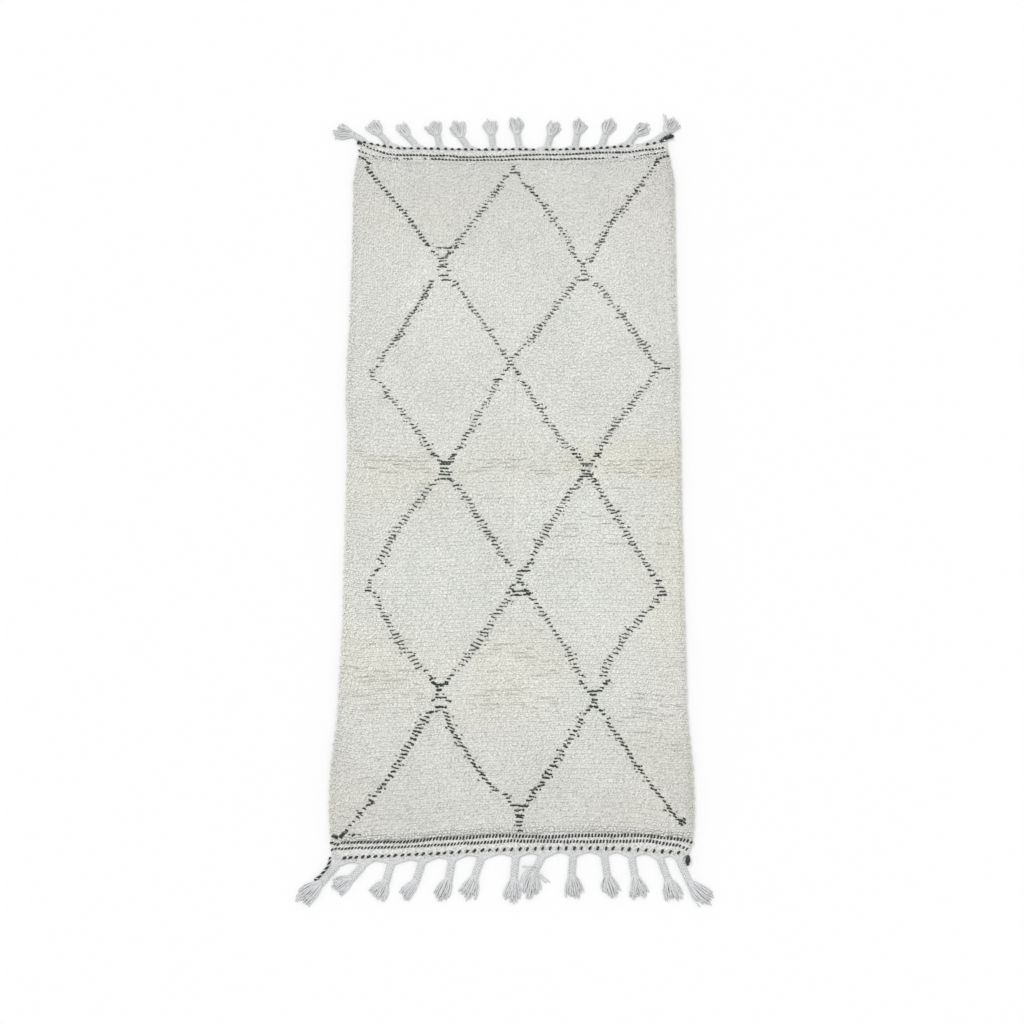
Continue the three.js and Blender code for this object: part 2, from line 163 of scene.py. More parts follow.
def spine(points, steps):
    """A path through the points, in even steps."""
    points = np.array(points, float)
    gaps = np.linalg.norm(np.diff(points[:, :2], axis=0), axis=1)
    places = np.concatenate([[0], np.cumsum(gaps)])
    at = np.linspace(0, places[-1], steps)
    return np.stack([np.interp(at, places, column) for column in points.T], axis=-1)


def link_object(name, data):
    thing = bpy.data.objects.new(name, data)
    bpy.context.scene.collection.objects.link(thing)
    return thing


class Threads:
    """Collects yarns and tufts, in millimetres, and makes one piece of them."""

    def __init__(self):
        self.points = []
        self.faces = {}
        self.count = 0

    def add(self, points, *face_sets):
        for faces in face_sets:
            self.faces.setdefault(faces.shape[1], []).append(faces + self.count)
        self.points.append(points)
        self.count += len(points)

    def piece(self, name, material, slot, *nodes):
        points = np.concatenate(self.points) * MM
        sets = [np.concatenate(faces) for faces in self.faces.values()]
        sizes = np.concatenate([np.full(len(faces), faces.shape[1]) for faces in sets])
        corners = np.concatenate([faces.ravel() for faces in sets])
        mesh = bpy.data.meshes.new(name)
        mesh.vertices.add(len(points))
        mesh.vertices.foreach_set("co", points.astype(np.float32).ravel())
        mesh.loops.add(len(corners))
        mesh.loops.foreach_set("vertex_index", corners.astype(np.int32))
        mesh.polygons.add(len(sizes))
        mesh.polygons.foreach_set("loop_start", (np.cumsum(sizes) - sizes).astype(np.int32))
        mesh.update(calc_edges=True)
        mesh.validate()
        mesh.shade_smooth()
        mesh.materials.append(material)
        piece = link_object(name, mesh)
        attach(piece, "root")
        if nodes:
            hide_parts(*nodes)
        return piece

    def yarns(self, paths, radii, sides=5, flatness=1.0):
        """Round yarns along paths of shape (yarns, steps, 3). radii is one size, or one for each step."""
        paths = np.asarray(paths, float)
        count, steps, _ = paths.shape
        radii = np.broadcast_to(np.asarray(radii, float), (count, steps))
        ahead = np.gradient(paths, axis=1)
        ahead /= np.linalg.norm(ahead, axis=2, keepdims=True)
        across = np.cross(ahead, UP)
        across /= np.linalg.norm(across, axis=2, keepdims=True)
        above = np.cross(across, ahead)
        turn = 2 * math.pi * (np.arange(sides) + 0.5) / sides
        cos = np.cos(turn)[None, None, :, None]
        sin = np.sin(turn)[None, None, :, None] * flatness
        offsets = cos * across[:, :, None] + sin * above[:, :, None]
        points = paths[:, :, None] + radii[:, :, None, None] * offsets
        index = np.arange(count * steps * sides).reshape(count, steps, sides)
        following = np.roll(index, -1, axis=2)
        quads = np.stack([index[:, :-1], following[:, :-1], following[:, 1:], index[:, 1:]], axis=-1)
        first = index[:, 0, ::-1]
        last = index[:, -1]
        self.add(points.reshape(-1, 3), quads.reshape(-1, 4), first, last)

    def tufts(self, x, y, top, wide, deep, turn, tilt_x, tilt_y):
        """Yarn ends standing in the pile. Each is a low dome, turned and tilted a little its own way."""
        count = len(x)
        angle = 2 * math.pi * np.arange(TUFT_SIDES) / TUFT_SIDES + rng.uniform(0, 6.28, (count, 1))
        spread = rng.uniform(0.84, 1.14, (count, TUFT_SIDES))
        along = wide[:, None] * np.cos(angle) * spread
        aside = deep[:, None] * np.sin(angle) * spread
        cos = np.cos(turn)[:, None]
        sin = np.sin(turn)[:, None]
        off_x = along * cos - aside * sin
        off_y = along * sin + aside * cos
        slope = off_x * tilt_x[:, None] + off_y * tilt_y[:, None]
        crown_z = top[:, None] - 1.1 + slope + rng.uniform(-0.45, 0.35, (count, TUFT_SIDES))
        crown = np.stack([x[:, None] + off_x, y[:, None] + off_y, crown_z], axis=-1)
        foot = np.stack([x[:, None] + 0.75 * off_x, y[:, None] + 0.75 * off_y, crown_z - 4.2], axis=-1)
        tip = np.stack([x + 0.2 * off_x[:, 0], y + 0.2 * off_y[:, 0], top], axis=-1)[:, None]
        points = np.concatenate([foot, crown, tip], axis=1)
        index = np.arange(count * (2 * TUFT_SIDES + 1)).reshape(count, 2 * TUFT_SIDES + 1)
        low = index[:, :TUFT_SIDES]
        high = index[:, TUFT_SIDES:2 * TUFT_SIDES]
        low_next = np.roll(low, -1, axis=1)
        high_next = np.roll(high, -1, axis=1)
        tips = np.broadcast_to(index[:, -1:], high.shape)
        quads = np.stack([low, low_next, high_next, high], axis=-1).reshape(-1, 4)
        caps = np.stack([high, high_next, tips], axis=-1).reshape(-1, 3)
        self.add(points.reshape(-1, 3), quads, caps)


# Materials
def node_group(name, inputs, outputs):
    """A node group with named inputs (name, kind, value) and outputs (name, kind)."""
    group = bpy.data.node_groups.new(name, "ShaderNodeTree")
    for label, kind, value in inputs:
        socket = group.interface.new_socket(label, in_out="INPUT", socket_type=kind)
        socket.default_value = value
    for label, kind in outputs:
        group.interface.new_socket(label, in_out="OUTPUT", socket_type=kind)
    entry = group.nodes.new("NodeGroupInput")
    leave = group.nodes.new("NodeGroupOutput")
    return group, entry, leave


def join(tree, value, socket):
    """Gives a socket its value: a link from another socket, or a constant."""
    if isinstance(value, bpy.types.NodeSocket):
        tree.links.new(value, socket)
    else:
        socket.default_value = value


def noise(tree, where, scale, detail):
    node = tree.nodes.new("ShaderNodeTexNoise")
    node.inputs["Scale"].default_value = scale
    node.inputs["Detail"].default_value = detail
    join(tree, where, node.inputs["Vector"])
    return node


def remap(tree, value, from_low, from_high, to_low, to_high, kind="LINEAR"):
    node = tree.nodes.new("ShaderNodeMapRange")
    node.interpolation_type = kind
    labels = ("Value", "From Min", "From Max", "To Min", "To Max")
    for label, size in zip(labels, (value, from_low, from_high, to_low, to_high)):
        join(tree, size, node.inputs[label])
    return node.outputs["Result"]


def math_node(tree, operation, *values):
    node = tree.nodes.new("ShaderNodeMath")
    node.operation = operation
    for socket, value in zip(node.inputs, values):
        join(tree, value, socket)
    return node.outputs["Value"]


def vector_node(tree, operation, *values):
    node = tree.nodes.new("ShaderNodeVectorMath")
    node.operation = operation
    for socket, value in zip(node.inputs, values):
        join(tree, value, socket)
    return node.outputs["Value" if operation == "LENGTH" else "Vector"]


def blend_colours(tree, how, amount, first, second):
    node = tree.nodes.new("ShaderNodeMix")
    node.data_type = "RGBA"
    node.blend_type = how
    sockets = (node.inputs["Factor"], node.inputs[6], node.inputs[7])
    for socket, value in zip(sockets, (amount, first, second)):
        join(tree, value, socket)
    return node.outputs[2]


def object_place(tree):
    return tree.nodes.new("ShaderNodeTexCoord").outputs["Object"]


# Hand-spun yarn: fibres, thick and thin places, a tone that drifts from skein to skein, and dark specks of
# painted shade between tufts
def make_yarn_group():
    group, entry, leave = node_group(
        "hand_spun_yarn",
        [
            ("Colour", "NodeSocketColor", (0.7, 0.7, 0.66, 1)),
            ("Yarn Unevenness And Speck Shade", "NodeSocketFloat", 0.12),
            ("Skein Drift", "NodeSocketFloat", 0.06),
        ],
        [("Colour", "NodeSocketColor"), ("Height", "NodeSocketFloat")],
    )
    where = object_place(group)
    fibre = noise(group, where, 900, 2).outputs["Fac"]
    yarn = noise(group, where, 170, 2).outputs["Fac"]
    skein = noise(group, where, 7, 2).outputs["Fac"]
    # Painted shade: random dark specks that stand for the shadowed gaps between tufts
    speck_shade = noise(group, where, 260, 1).outputs["Fac"]
    half_yarn = math_node(group, "MULTIPLY", entry.outputs["Yarn Unevenness And Speck Shade"], 0.35)
    darkest = math_node(group, "SUBTRACT", 1, entry.outputs["Yarn Unevenness And Speck Shade"])
    half_skein = math_node(group, "MULTIPLY", entry.outputs["Skein Drift"], 0.5)
    tones = []
    for value, half in ((yarn, half_yarn), (skein, half_skein)):
        low = math_node(group, "SUBTRACT", 1, half)
        high = math_node(group, "ADD", 1, half)
        tones.append(remap(group, value, 0.3, 0.7, low, high))
    tone = math_node(group, "MULTIPLY", tones[0], tones[1])
    speck_shaded = remap(group, speck_shade, 0.28, 0.45, darkest, 1, "SMOOTHSTEP")
    tone = math_node(group, "MULTIPLY", tone, speck_shaded)
    colour = blend_colours(group, "MULTIPLY", 1.0, entry.outputs["Colour"], tone)
    join(group, colour, leave.inputs["Colour"])
    height = math_node(group, "ADD", fibre, math_node(group, "MULTIPLY", yarn, 0.6))
    join(group, height, leave.inputs["Height"])
    return group


# Cream and cool places in the undyed wool: the middle and the half sizes of each, in metres, and its tint
TINT_COLUMNS = ("x", "y", "half_x", "half_y", "tint", "amount")
TINTS = (
    (-0.22, 0.7, 0.2, 0.11, (1.0, 0.985, 0.9), 0.4),
    (0.33, 0.72, 0.14, 0.12, (1.0, 0.975, 0.91), 0.4),
    (-0.26, -0.02, 0.17, 0.11, (1.0, 0.975, 0.88), 0.42),
    (0.02, 0.03, 0.22, 0.1, (1.0, 0.98, 0.89), 0.42),
    (0.3, 0.04, 0.2, 0.07, (1.0, 0.96, 0.84), 0.5),
    (0.0, -0.45, 0.2, 0.12, (1.0, 0.965, 0.87), 0.45),
    (-0.05, -0.58, 0.2, 0.06, (1.0, 0.965, 0.88), 0.4),
    (-0.3, -0.48, 0.16, 0.12, (1.0, 0.975, 0.88), 0.45),
    (0.38, -0.28, 0.14, 0.3, (0.99, 0.97, 0.88), 0.4),
    (0.34, -0.68, 0.14, 0.1, (1.0, 0.98, 0.88), 0.42),
    (-0.37, -0.79, 0.1, 0.1, (1.0, 0.97, 0.88), 0.42),
    (0.27, -0.82, 0.16, 0.07, (1.0, 0.98, 0.89), 0.4),
    (0.14, -0.56, 0.08, 0.06, (0.97, 1.0, 1.0), 0.4),
)
# How far, in metres, the edges of these places wander
TINT_WANDER = (0.16, 0.07, 0)
# Painted shade on the rounded long sides and along the fold crease, a darker tone towards both ends, and
# the soft colour of the outer parts of the field
PAINTED_SIDE_SHADE = (0.87, 0.88, 0.9, 1)
PAINTED_FOLD_SHADE = (0.8, 0.785, 0.76, 1)
ENDS_DARKER_TINT = (0.905, 0.895, 0.91, 1)
OUTER_TINT = (0.975, 0.965, 0.96, 1)


def make_tint_and_shade_group():
    group, entry, leave = node_group(
        "undyed_wool_tints_and_painted_shade",
        [("Colour", "NodeSocketColor", (0.7, 0.7, 0.66, 1))],
        [("Colour", "NodeSocketColor")],
    )
    where = object_place(group)
    wander = noise(group, where, 6, 2).outputs["Color"]
    spread = vector_node(group, "MULTIPLY_ADD", wander, TINT_WANDER, where)
    colour = entry.outputs["Colour"]
    for place in named_rows(TINT_COLUMNS, TINTS):
        middle = (place["x"] + TINT_WANDER[0] / 2, place["y"] + TINT_WANDER[1] / 2, 0)
        shift = vector_node(group, "SUBTRACT", spread, middle)
        scaled = vector_node(group, "MULTIPLY", shift, (1 / place["half_x"], 1 / place["half_y"], 0))
        length = vector_node(group, "LENGTH", scaled)
        amount = remap(group, length, 0.35, 1.25, place["amount"], 0, "SMOOTHSTEP")
        colour = blend_colours(group, "MULTIPLY", amount, colour, (*place["tint"], 1))
    apart = group.nodes.new("ShaderNodeSeparateXYZ")
    join(group, where, apart.inputs["Vector"])
    beside = math_node(group, "ABSOLUTE", apart.outputs["X"])
    # Painted shade: the long sides are greyed where the pile rounds down away from the light
    edge = remap(group, beside, 0.38, 0.4, 0, 0.45, "SMOOTHSTEP")
    colour = blend_colours(group, "MULTIPLY", edge, colour, PAINTED_SIDE_SHADE)
    along = math_node(group, "ABSOLUTE", apart.outputs["Y"])
    # Painted shade: a thin darker line along the fold crease down the middle of the rug
    fold_shift = math_node(group, "MULTIPLY_ADD", apart.outputs["Y"], -1 / 60, -0.004)
    off_fold = math_node(group, "ABSOLUTE", math_node(group, "ADD", apart.outputs["X"], fold_shift))
    fold = remap(group, off_fold, 0.001, 0.003, 1, 0, "SMOOTHSTEP")
    fold = math_node(group, "MULTIPLY", fold, remap(group, apart.outputs["Y"], 0.33, 0.27, 0, 1))
    fold = math_node(group, "MULTIPLY", fold, remap(group, apart.outputs["Y"], -0.23, -0.17, 0, 1))
    colour = blend_colours(group, "MULTIPLY", fold, colour, PAINTED_FOLD_SHADE)
    # Darker towards both ends of the rug
    towards_ends = remap(group, along, 0.45, 0.88, 0, 1, "SMOOTHSTEP")
    colour = blend_colours(group, "MULTIPLY", towards_ends, colour, ENDS_DARKER_TINT)
    outer = remap(group, beside, 0.26, 0.39, 0, 1, "SMOOTHSTEP")
    colour = blend_colours(group, "MULTIPLY", outer, colour, OUTER_TINT)
    join(group, colour, leave.inputs["Colour"])
    return group


YARN_GROUP = make_yarn_group()
TINT_AND_SHADE_GROUP = make_tint_and_shade_group()


def wool_material(name, colour, unevenness_and_speck_shade, drift, bump, tinted_and_shaded, sheen):
    material = bpy.data.materials.new(name)
    material.use_nodes = True
    tree = material.node_tree
    shader = tree.nodes["Principled BSDF"]
    shader.inputs["Roughness"].default_value = 0.95
    shader.inputs["Specular IOR Level"].default_value = 0.15
    shader.inputs["Sheen Weight"].default_value = sheen
    shader.inputs["Sheen Roughness"].default_value = 0.6
    yarn = tree.nodes.new("ShaderNodeGroup")
    yarn.node_tree = YARN_GROUP
    yarn.inputs["Colour"].default_value = (*colour, 1)
    yarn.inputs["Yarn Unevenness And Speck Shade"].default_value = unevenness_and_speck_shade
    yarn.inputs["Skein Drift"].default_value = drift
    shown = yarn.outputs["Colour"]
    # The wool's cream tints, with painted shade on the long sides and along the fold crease
    if tinted_and_shaded:
        tints = tree.nodes.new("ShaderNodeGroup")
        tints.node_tree = TINT_AND_SHADE_GROUP
        join(tree, shown, tints.inputs["Colour"])
        shown = tints.outputs["Colour"]
    join(tree, shown, shader.inputs["Base Color"])
    relief = tree.nodes.new("ShaderNodeBump")
    relief.inputs["Strength"].default_value = bump
    relief.inputs["Distance"].default_value = 0.0008
    join(tree, yarn.outputs["Height"], relief.inputs["Height"])
    join(tree, relief.outputs["Normal"], shader.inputs["Normal"])
    return material


PILE_WOOL = wool_material("undyed_pile_wool", (0.81, 0.82, 0.785), 0.34, 0.05, 0.6, True, 0.2)
# The lower pile's wool, greyer than the tufts as painted shade in the gaps between them
BODY_WOOL_SHADED = wool_material("packed_pile_wool_painted_shade", (0.70, 0.70, 0.65), 0.16, 0.05, 0.5, False, 0.1)
# Ground weft wool, dark brown as painted shade in the row partings
GROUND_WEFT_SHADE_WOOL = wool_material("ground_weft_wool_painted_shade", (0.26, 0.20, 0.13), 0.3, 0.1, 0.5, False, 0.1)
WEAVE_WOOL = wool_material("flat_weave_wool", (0.78, 0.785, 0.765), 0.42, 0.06, 0.5, False, 0.1)
WARP_WOOL = wool_material("warp_yarn_wool", (0.675, 0.685, 0.69), 0.16, 0.06, 0.5, False, 0.15)
WORN_WOOL = wool_material("worn_charcoal_wool", (0.17, 0.18, 0.165), 0.5, 0.2, 0.5, False, 0.1)
DARK_WOOL = wool_material("charcoal_wool", (0.045, 0.054, 0.048), 0.5, 0.2, 0.5, False, 0.1)


def closed_slab(top, bottom):
    """A grid of top points of shape (rows, columns, 3), with walls down to one flat underside."""
    rows, columns, _ = top.shape
    upper = top.reshape(-1, 3)
    index = np.arange(rows * columns).reshape(rows, columns)
    corners = [index[:-1, :-1], index[:-1, 1:], index[1:, 1:], index[1:, :-1]]
    quads = np.stack(corners, axis=-1).reshape(-1, 4)
    rim = np.concatenate([index[0, :-1], index[:-1, -1], index[-1, :0:-1], index[:0:-1, 0]])
    low = upper[rim] * (1, 1, 0) + (0, 0, bottom)
    under = np.arange(len(upper), len(upper) + len(rim))
    walls = np.stack([under, np.roll(under, -1), np.roll(rim, -1), rim], axis=-1)
    slab = Threads()
    slab.add(np.concatenate([upper, low]), quads, walls, under[None, ::-1])
    return slab


# The ground cloth: one flat sheet from the near edge to the far edge
def make_ground():
    columns = 41
    rows = 91
    inset = 3.5
    end_inset = 1.2
    u, w = np.meshgrid(np.linspace(0, 1, columns), np.linspace(0, 1, rows))
    x = mix(-HALF_WIDTH, HALF_WIDTH, u)
    for _ in range(4):
        y = mix(near_line(x, end_inset), far_line(x, end_inset), w)
        x = mix(left_side(y) + inset, right_side(y) - inset, u)
    top = np.stack([x, y, np.full_like(x, WEAVE_TOP)], axis=-1)
    return closed_slab(top, 0).piece("ground_cloth", WEAVE_WOOL, "wool_pile", "rug")


# The lattice: its crossings and turning points, and the arms between them
POINTS = {
    "top": (3, 832), "upper": (-5, 290), "lower": (16, -263), "bottom": (16, -817),
    "left_1": (-174, 563), "left_2": (-160, 12), "left_3": (-164, -532),
    "right_1": (182, 547), "right_2": (179, 12), "right_3": (187, -555),
    "outer_left_1": (-341, 261), "outer_left_2": (-336, -276),
    "outer_right_1": (361, 274), "outer_right_2": (351, -293),
    "far_left": (-374, 842), "far_right": (377, 857), "near_left": (-370, -852), "near_right": (380, -846),
}
# Each arm: the usual half length of its dashes near its start, middle and end, their slope, how thick
# they are, how often a stray knot stands beside one, and roughly how far its middle bows to the right
ARM_COLUMNS = ("first", "last", "halves", "slope", "thick", "strays", "bow")
ARMS = (
    ("far_left", "left_1", (5.2, 5.2, 5.0), 0.3, 1.5, 0.15, 0),
    ("top", "left_1", (4.2, 4.6, 4.8), 0.0, 1.25, 0.9, 0),
    ("top", "right_1", (4.5, 4.6, 3.4), 0.0, 1.2, 0.6, 10),
    ("far_right", "right_1", (3.0, 4.6, 4.6), 0.0, 1.35, 0.8, -10),
    ("left_1", "outer_left_1", (4.6, 4.6, 4.6), 0.3, 1.15, 0.7, 5),
    ("left_1", "upper", (4.6, 4.6, 4.6), 0.2, 1.05, 0.5, 0),
    ("right_1", "upper", (5.4, 5.2, 5.2), -0.2, 1.1, 0.7, 5),
    ("right_1", "outer_right_1", (3.6, 5.5, 5.4), 0.2, 1.2, 0.6, 5),
    ("outer_left_1", "left_2", (5.8, 6.2, 6.0), 0.2, 0.95, 0.5, 0),
    ("upper", "left_2", (6.4, 5.4, 5.6), -0.15, 0.95, 0.7, 0),
    ("upper", "right_2", (6.4, 6.8, 6.4), 0.05, 1.0, 0.5, -10),
    ("outer_right_1", "right_2", (7.0, 7.2, 6.6), 0.0, 0.95, 0.5, -5),
    ("left_2", "outer_left_2", (6.2, 6.2, 6.2), -0.25, 0.95, 0.7, -10),
    ("left_2", "lower", (5.5, 7.0, 5.0), 0.1, 1.0, 0.5, 0),
    ("right_2", "lower", (6.6, 6.4, 6.0), -0.2, 0.95, 0.5, -5),
    ("right_2", "outer_right_2", (7.0, 6.0, 5.0), 0.15, 0.95, 0.5, 0),
    ("outer_left_2", "left_3", (3.4, 9.0, 6.4), 0.2, 0.9, 0.3, -15),
    ("lower", "left_3", (7.4, 7.8, 7.4), -0.25, 0.95, 0.4, 10),
    ("lower", "right_3", (6.5, 4.4, 9.6), 0.15, 1.0, 0.3, 5),
    ("outer_right_2", "right_3", (7.2, 7.4, 7.2), -0.25, 0.95, 0.5, -20),
    ("left_3", "near_left", (8.4, 7.4, 3.0), -0.15, 1.25, 0.3, 15),
    ("left_3", "bottom", (6.4, 6.6, 6.4), -0.3, 1.15, 0.5, -30),
    ("right_3", "bottom", (3.6, 6.4, 6.6), -0.15, 1.3, 0.5, 5),
    ("right_3", "near_right", (5.4, 5.6, 5.4), -0.3, 1.25, 0.3, -5),
)
# Where arms cross they close into a ladder of bars. Each crossing: the half width of its middle bars, how
# far they stand to the right, how thick they are, and its long rungs (rows above or below, start, stop)
CROSSING_COLUMNS = ("name", "half", "lean", "thick", "rungs")
CROSSINGS = (
    ("top", 5, 0, 1.15, ((-1.2, -10, 17),)),
    ("left_1", 8, 2, 1.25, ((4.0, -15, 40), (-3.4, -8, 18), (-4.6, -3, 25))),
    ("right_1", 6, -3, 1.2, ((-3.1, -22, 8),)),
    ("upper", 7, 1, 1.1, ((-1.4, -7, 15), (-4.4, -41, -19))),
    ("left_2", 10, 0, 1.15, ((1.7, -10, 22), (-2.5, -16, 16))),
    ("right_2", 11, 0, 1.15, ((0.6, -11, 23), (-1.9, -18, 12))),
    ("lower", 7, 1, 1.15, ((1.8, -3, 27), (-3.0, -16, 18), (-3.9, -20, 26))),
    ("left_3", 7, 0, 1.3, ((1.4, -16, 18), (-3.7, -11, 15), (-4.7, -24, 0))),
    ("right_3", 6, 0, 1.3, ((2.1, -15, 18), (1.3, -11, 6))),
    ("bottom", 9, -1, 1.4, ((2.0, -20, 22), (0.0, -9, 11))),
    ("outer_left_1", 5, 3, 1.05, ()),
    ("outer_left_2", 4, 2, 1.0, ()),
    ("outer_right_1", 8, -5, 1.1, ((0.0, -4, 24), (-1.0, -20, -3))),
    ("outer_right_2", 7, -5, 1.15, ((2.3, -15, -1), (-0.2, -8, 6))),
)
# The single marks at the corners, some of them doubled in the next row
BOLD_MARK_COLUMNS = ("x", "y", "half", "slope", "thick", "rows")
BOLD_MARKS = (
    (-367, 848, 4, -0.7, 1.6, 1),
    (-361, 847, 3, -0.7, 1.6, 1),
    (369, 852, 5, 0.3, 1.6, 1),
    (-398, -864, 3, 0, 1.8, 1),
    (-390, -866, 3, -0.4, 1.8, 1),
    (-374, -858, 8, 1.0, 2.3, 1),
    (-361, -860, 2, -0.4, 1.9, 1),
    (-352, -862, 3.5, 0.4, 1.9, 1),
    (-340, -861, 5, 0, 0.9, 1),
    (374, -836, 6, -0.6, 1.6, 2),
    (384, -834, 3, -0.6, 1.6, 2),
)
MARK_STEP = 8
MARK_SHRINK = 0.15

ROW_GAP = 10.4
# In rows: how far a ladder runs each way from its crossing, how long its bars stay single, the gap from
# bar to bar, and how clear they keep of a rung
LADDER_ROWS = 5
LADDER_TIGHT = 1.7
LADDER_GAPS = (0.75, 1.0)
RUNG_CLEAR = 0.4
# How many rows the ladder runs on past the meeting point at the rug's two ends, where no arms follow
LADDER_ENDS = {"top": 0.8, "bottom": 3.4}
KNOT_PITCH = 3.7
KNOT_SKIPPED = 0.06
# The finer dashes have faded more towards the far end
FADED_FROM = 100
FADED_FINER_THAN = 1.4
FADED_SHARE = 0.45
FADED_THINNER = 0.94
WORN_SHARE = 0.12
ARM_PITCH = 8.8
# Stray knots beside a dash: the chance of one, and how near and how far it may stand
STRAY_CHANCES = ((1.0, 1.5, 6), (0.6, 4, 9))


def arm_reach(name):
    """How far from a point its arms begin: the ladder of a crossing takes the first rows."""
    crossings = [row[0] for row in CROSSINGS]
    return (LADDER_ROWS if name in crossings else 0.6) * ROW_GAP


def dash(x, y, half, slope, thick, worn=WORN_SHARE):
    """A dash of dark knots, by its two ends. worn is the share of them that has lost its colour."""
    return x - half, y - slope * half, x + half, y + slope * half, thick, worn


def arm_dashes(arm):
    """The dashes along one arm, set close under one another."""
    start = np.array(POINTS[arm["first"]], float)
    end = np.array(POINTS[arm["last"]], float)
    along = start[1] - arm_reach(arm["first"])
    bottom = end[1] + arm_reach(arm["last"])
    drift = 0
    while along > bottom:
        t = (along - start[1]) / (end[1] - start[1])
        drift = 0.8 * drift + rng.uniform(-2, 2)
        across = mix(start[0], end[0], t) + 4 * arm["bow"] * t * (1 - t) + drift
        half = np.interp(t, (0, 0.5, 1), arm["halves"]) * rng.uniform(0.7, 1.3)
        slope = arm["slope"] + rng.uniform(-0.3, 0.3)
        yield dash(across, along, half, slope, arm["thick"] * rng.uniform(0.85, 1.15))
        for chance, nearest, furthest in STRAY_CHANCES:
            if rng.random() < chance * arm["strays"]:
                aside = rng.choice((-1, 1)) * (half + rng.uniform(nearest, furthest))
                size = rng.uniform(0.8, 3.2)
                height = along + rng.uniform(-5, 5)
                yield dash(across + aside, height, size, slope, 0.9 * arm["thick"], 0.7)
        along -= ARM_PITCH * rng.uniform(0.85, 1.15)


def ladder_bars(crossing):
    """The bars of one crossing. Where its two arms run close together, one bar takes both."""
    x, y = POINTS[crossing["name"]]
    ways = {1: [], -1: []}
    for arm in named_rows(ARM_COLUMNS, ARMS):
        for here, there, up in ((arm["first"], arm["last"], -1), (arm["last"], arm["first"], 1)):
            if here == crossing["name"]:
                other = POINTS[there]
                ways[up].append((other[0] - x) / abs(other[1] - y))
    above = LADDER_ROWS - 0.4
    while above > -LADDER_ROWS + 0.3:
        level = above + rng.uniform(-0.12, 0.12)
        above -= rng.uniform(*LADDER_GAPS)
        away = abs(level)
        if any(abs(level - rung[0]) < RUNG_CLEAR for rung in crossing["rungs"]):
            continue
        beside = [way * away * ROW_GAP for way in ways[1 if level > 0 else -1]]
        if not beside and away > LADDER_ENDS.get(crossing["name"], 0.8):
            continue
        thick = crossing["thick"] * rng.uniform(0.8, 1.2)
        height = y + level * ROW_GAP
        if away < LADDER_TIGHT or not beside:
            opened = away / LADDER_TIGHT if beside else 0
            half = crossing["half"] * mix(0.9, 1.7, opened) * rng.uniform(0.8, 1.2)
            centre = x + crossing["lean"] + rng.uniform(-2.5, 2.5)
            yield dash(centre, height, half, rng.uniform(-0.12, 0.12), thick)
            continue
        for place in beside:
            half = mix(4.2, 0.8 * crossing["half"], rng.random()) * rng.uniform(0.8, 1.2)
            slope = rng.uniform(-0.35, 0.35)
            centre = x + place * 1.05 + crossing["lean"] * (1 - away / LADDER_ROWS)
            yield dash(centre + rng.uniform(-2, 2), height + rng.uniform(-2.5, 2.5), half, slope, thick)
            if rng.random() < 0.4:
                aside = rng.choice((-1, 1)) * (half + rng.uniform(2, 5))
                stray_height = height + rng.uniform(-6, 6)
                size = rng.uniform(1, 3.5)
                yield dash(centre + aside, stray_height, size, slope, 0.9 * thick, 0.6)
    for level, start, stop in crossing["rungs"]:
        rise = rng.uniform(-0.05, 0.08)
        centre = x + (start + stop) / 2
        yield dash(centre, y + level * ROW_GAP, (stop - start) / 2, rise, 1.05 * crossing["thick"], 0)


def lattice_dashes():
    for arm in named_rows(ARM_COLUMNS, ARMS):
        yield from arm_dashes(arm)
    for crossing in named_rows(CROSSING_COLUMNS, CROSSINGS):
        yield from ladder_bars(crossing)
    for mark in named_rows(BOLD_MARK_COLUMNS, BOLD_MARKS):
        for step in range(mark["rows"]):
            half = mark["half"] * (1 - MARK_SHRINK * step)
            y = mark["y"] + MARK_STEP * step
            yield dash(mark["x"], y, half, mark["slope"], mark["thick"])


def lattice_knots():
    """The charcoal knots along each dash: place, slope, thickness, and whether it is worn."""
    knots = []
    for x0, y0, x1, y1, thick, worn in lattice_dashes():
        if y0 > FADED_FROM and thick < FADED_FINER_THAN:
            worn += FADED_SHARE
            thick *= FADED_THINNER
        length = math.hypot(x1 - x0, y1 - y0)
        count = max(1, round(length / KNOT_PITCH))
        for number in range(count):
            t = (number + 0.5) / count
            if count > 3 and rng.random() < KNOT_SKIPPED:
                continue
            x = mix(x0, x1, t) + rng.uniform(-0.5, 0.5)
            y = mix(y0, y1, t) + rng.uniform(-0.7, 0.7)
            slope = (y1 - y0) / max(1, x1 - x0)
            knots.append((x, y, slope, thick * rng.uniform(0.8, 1.2), rng.random() < worn))
    return np.array(knots)


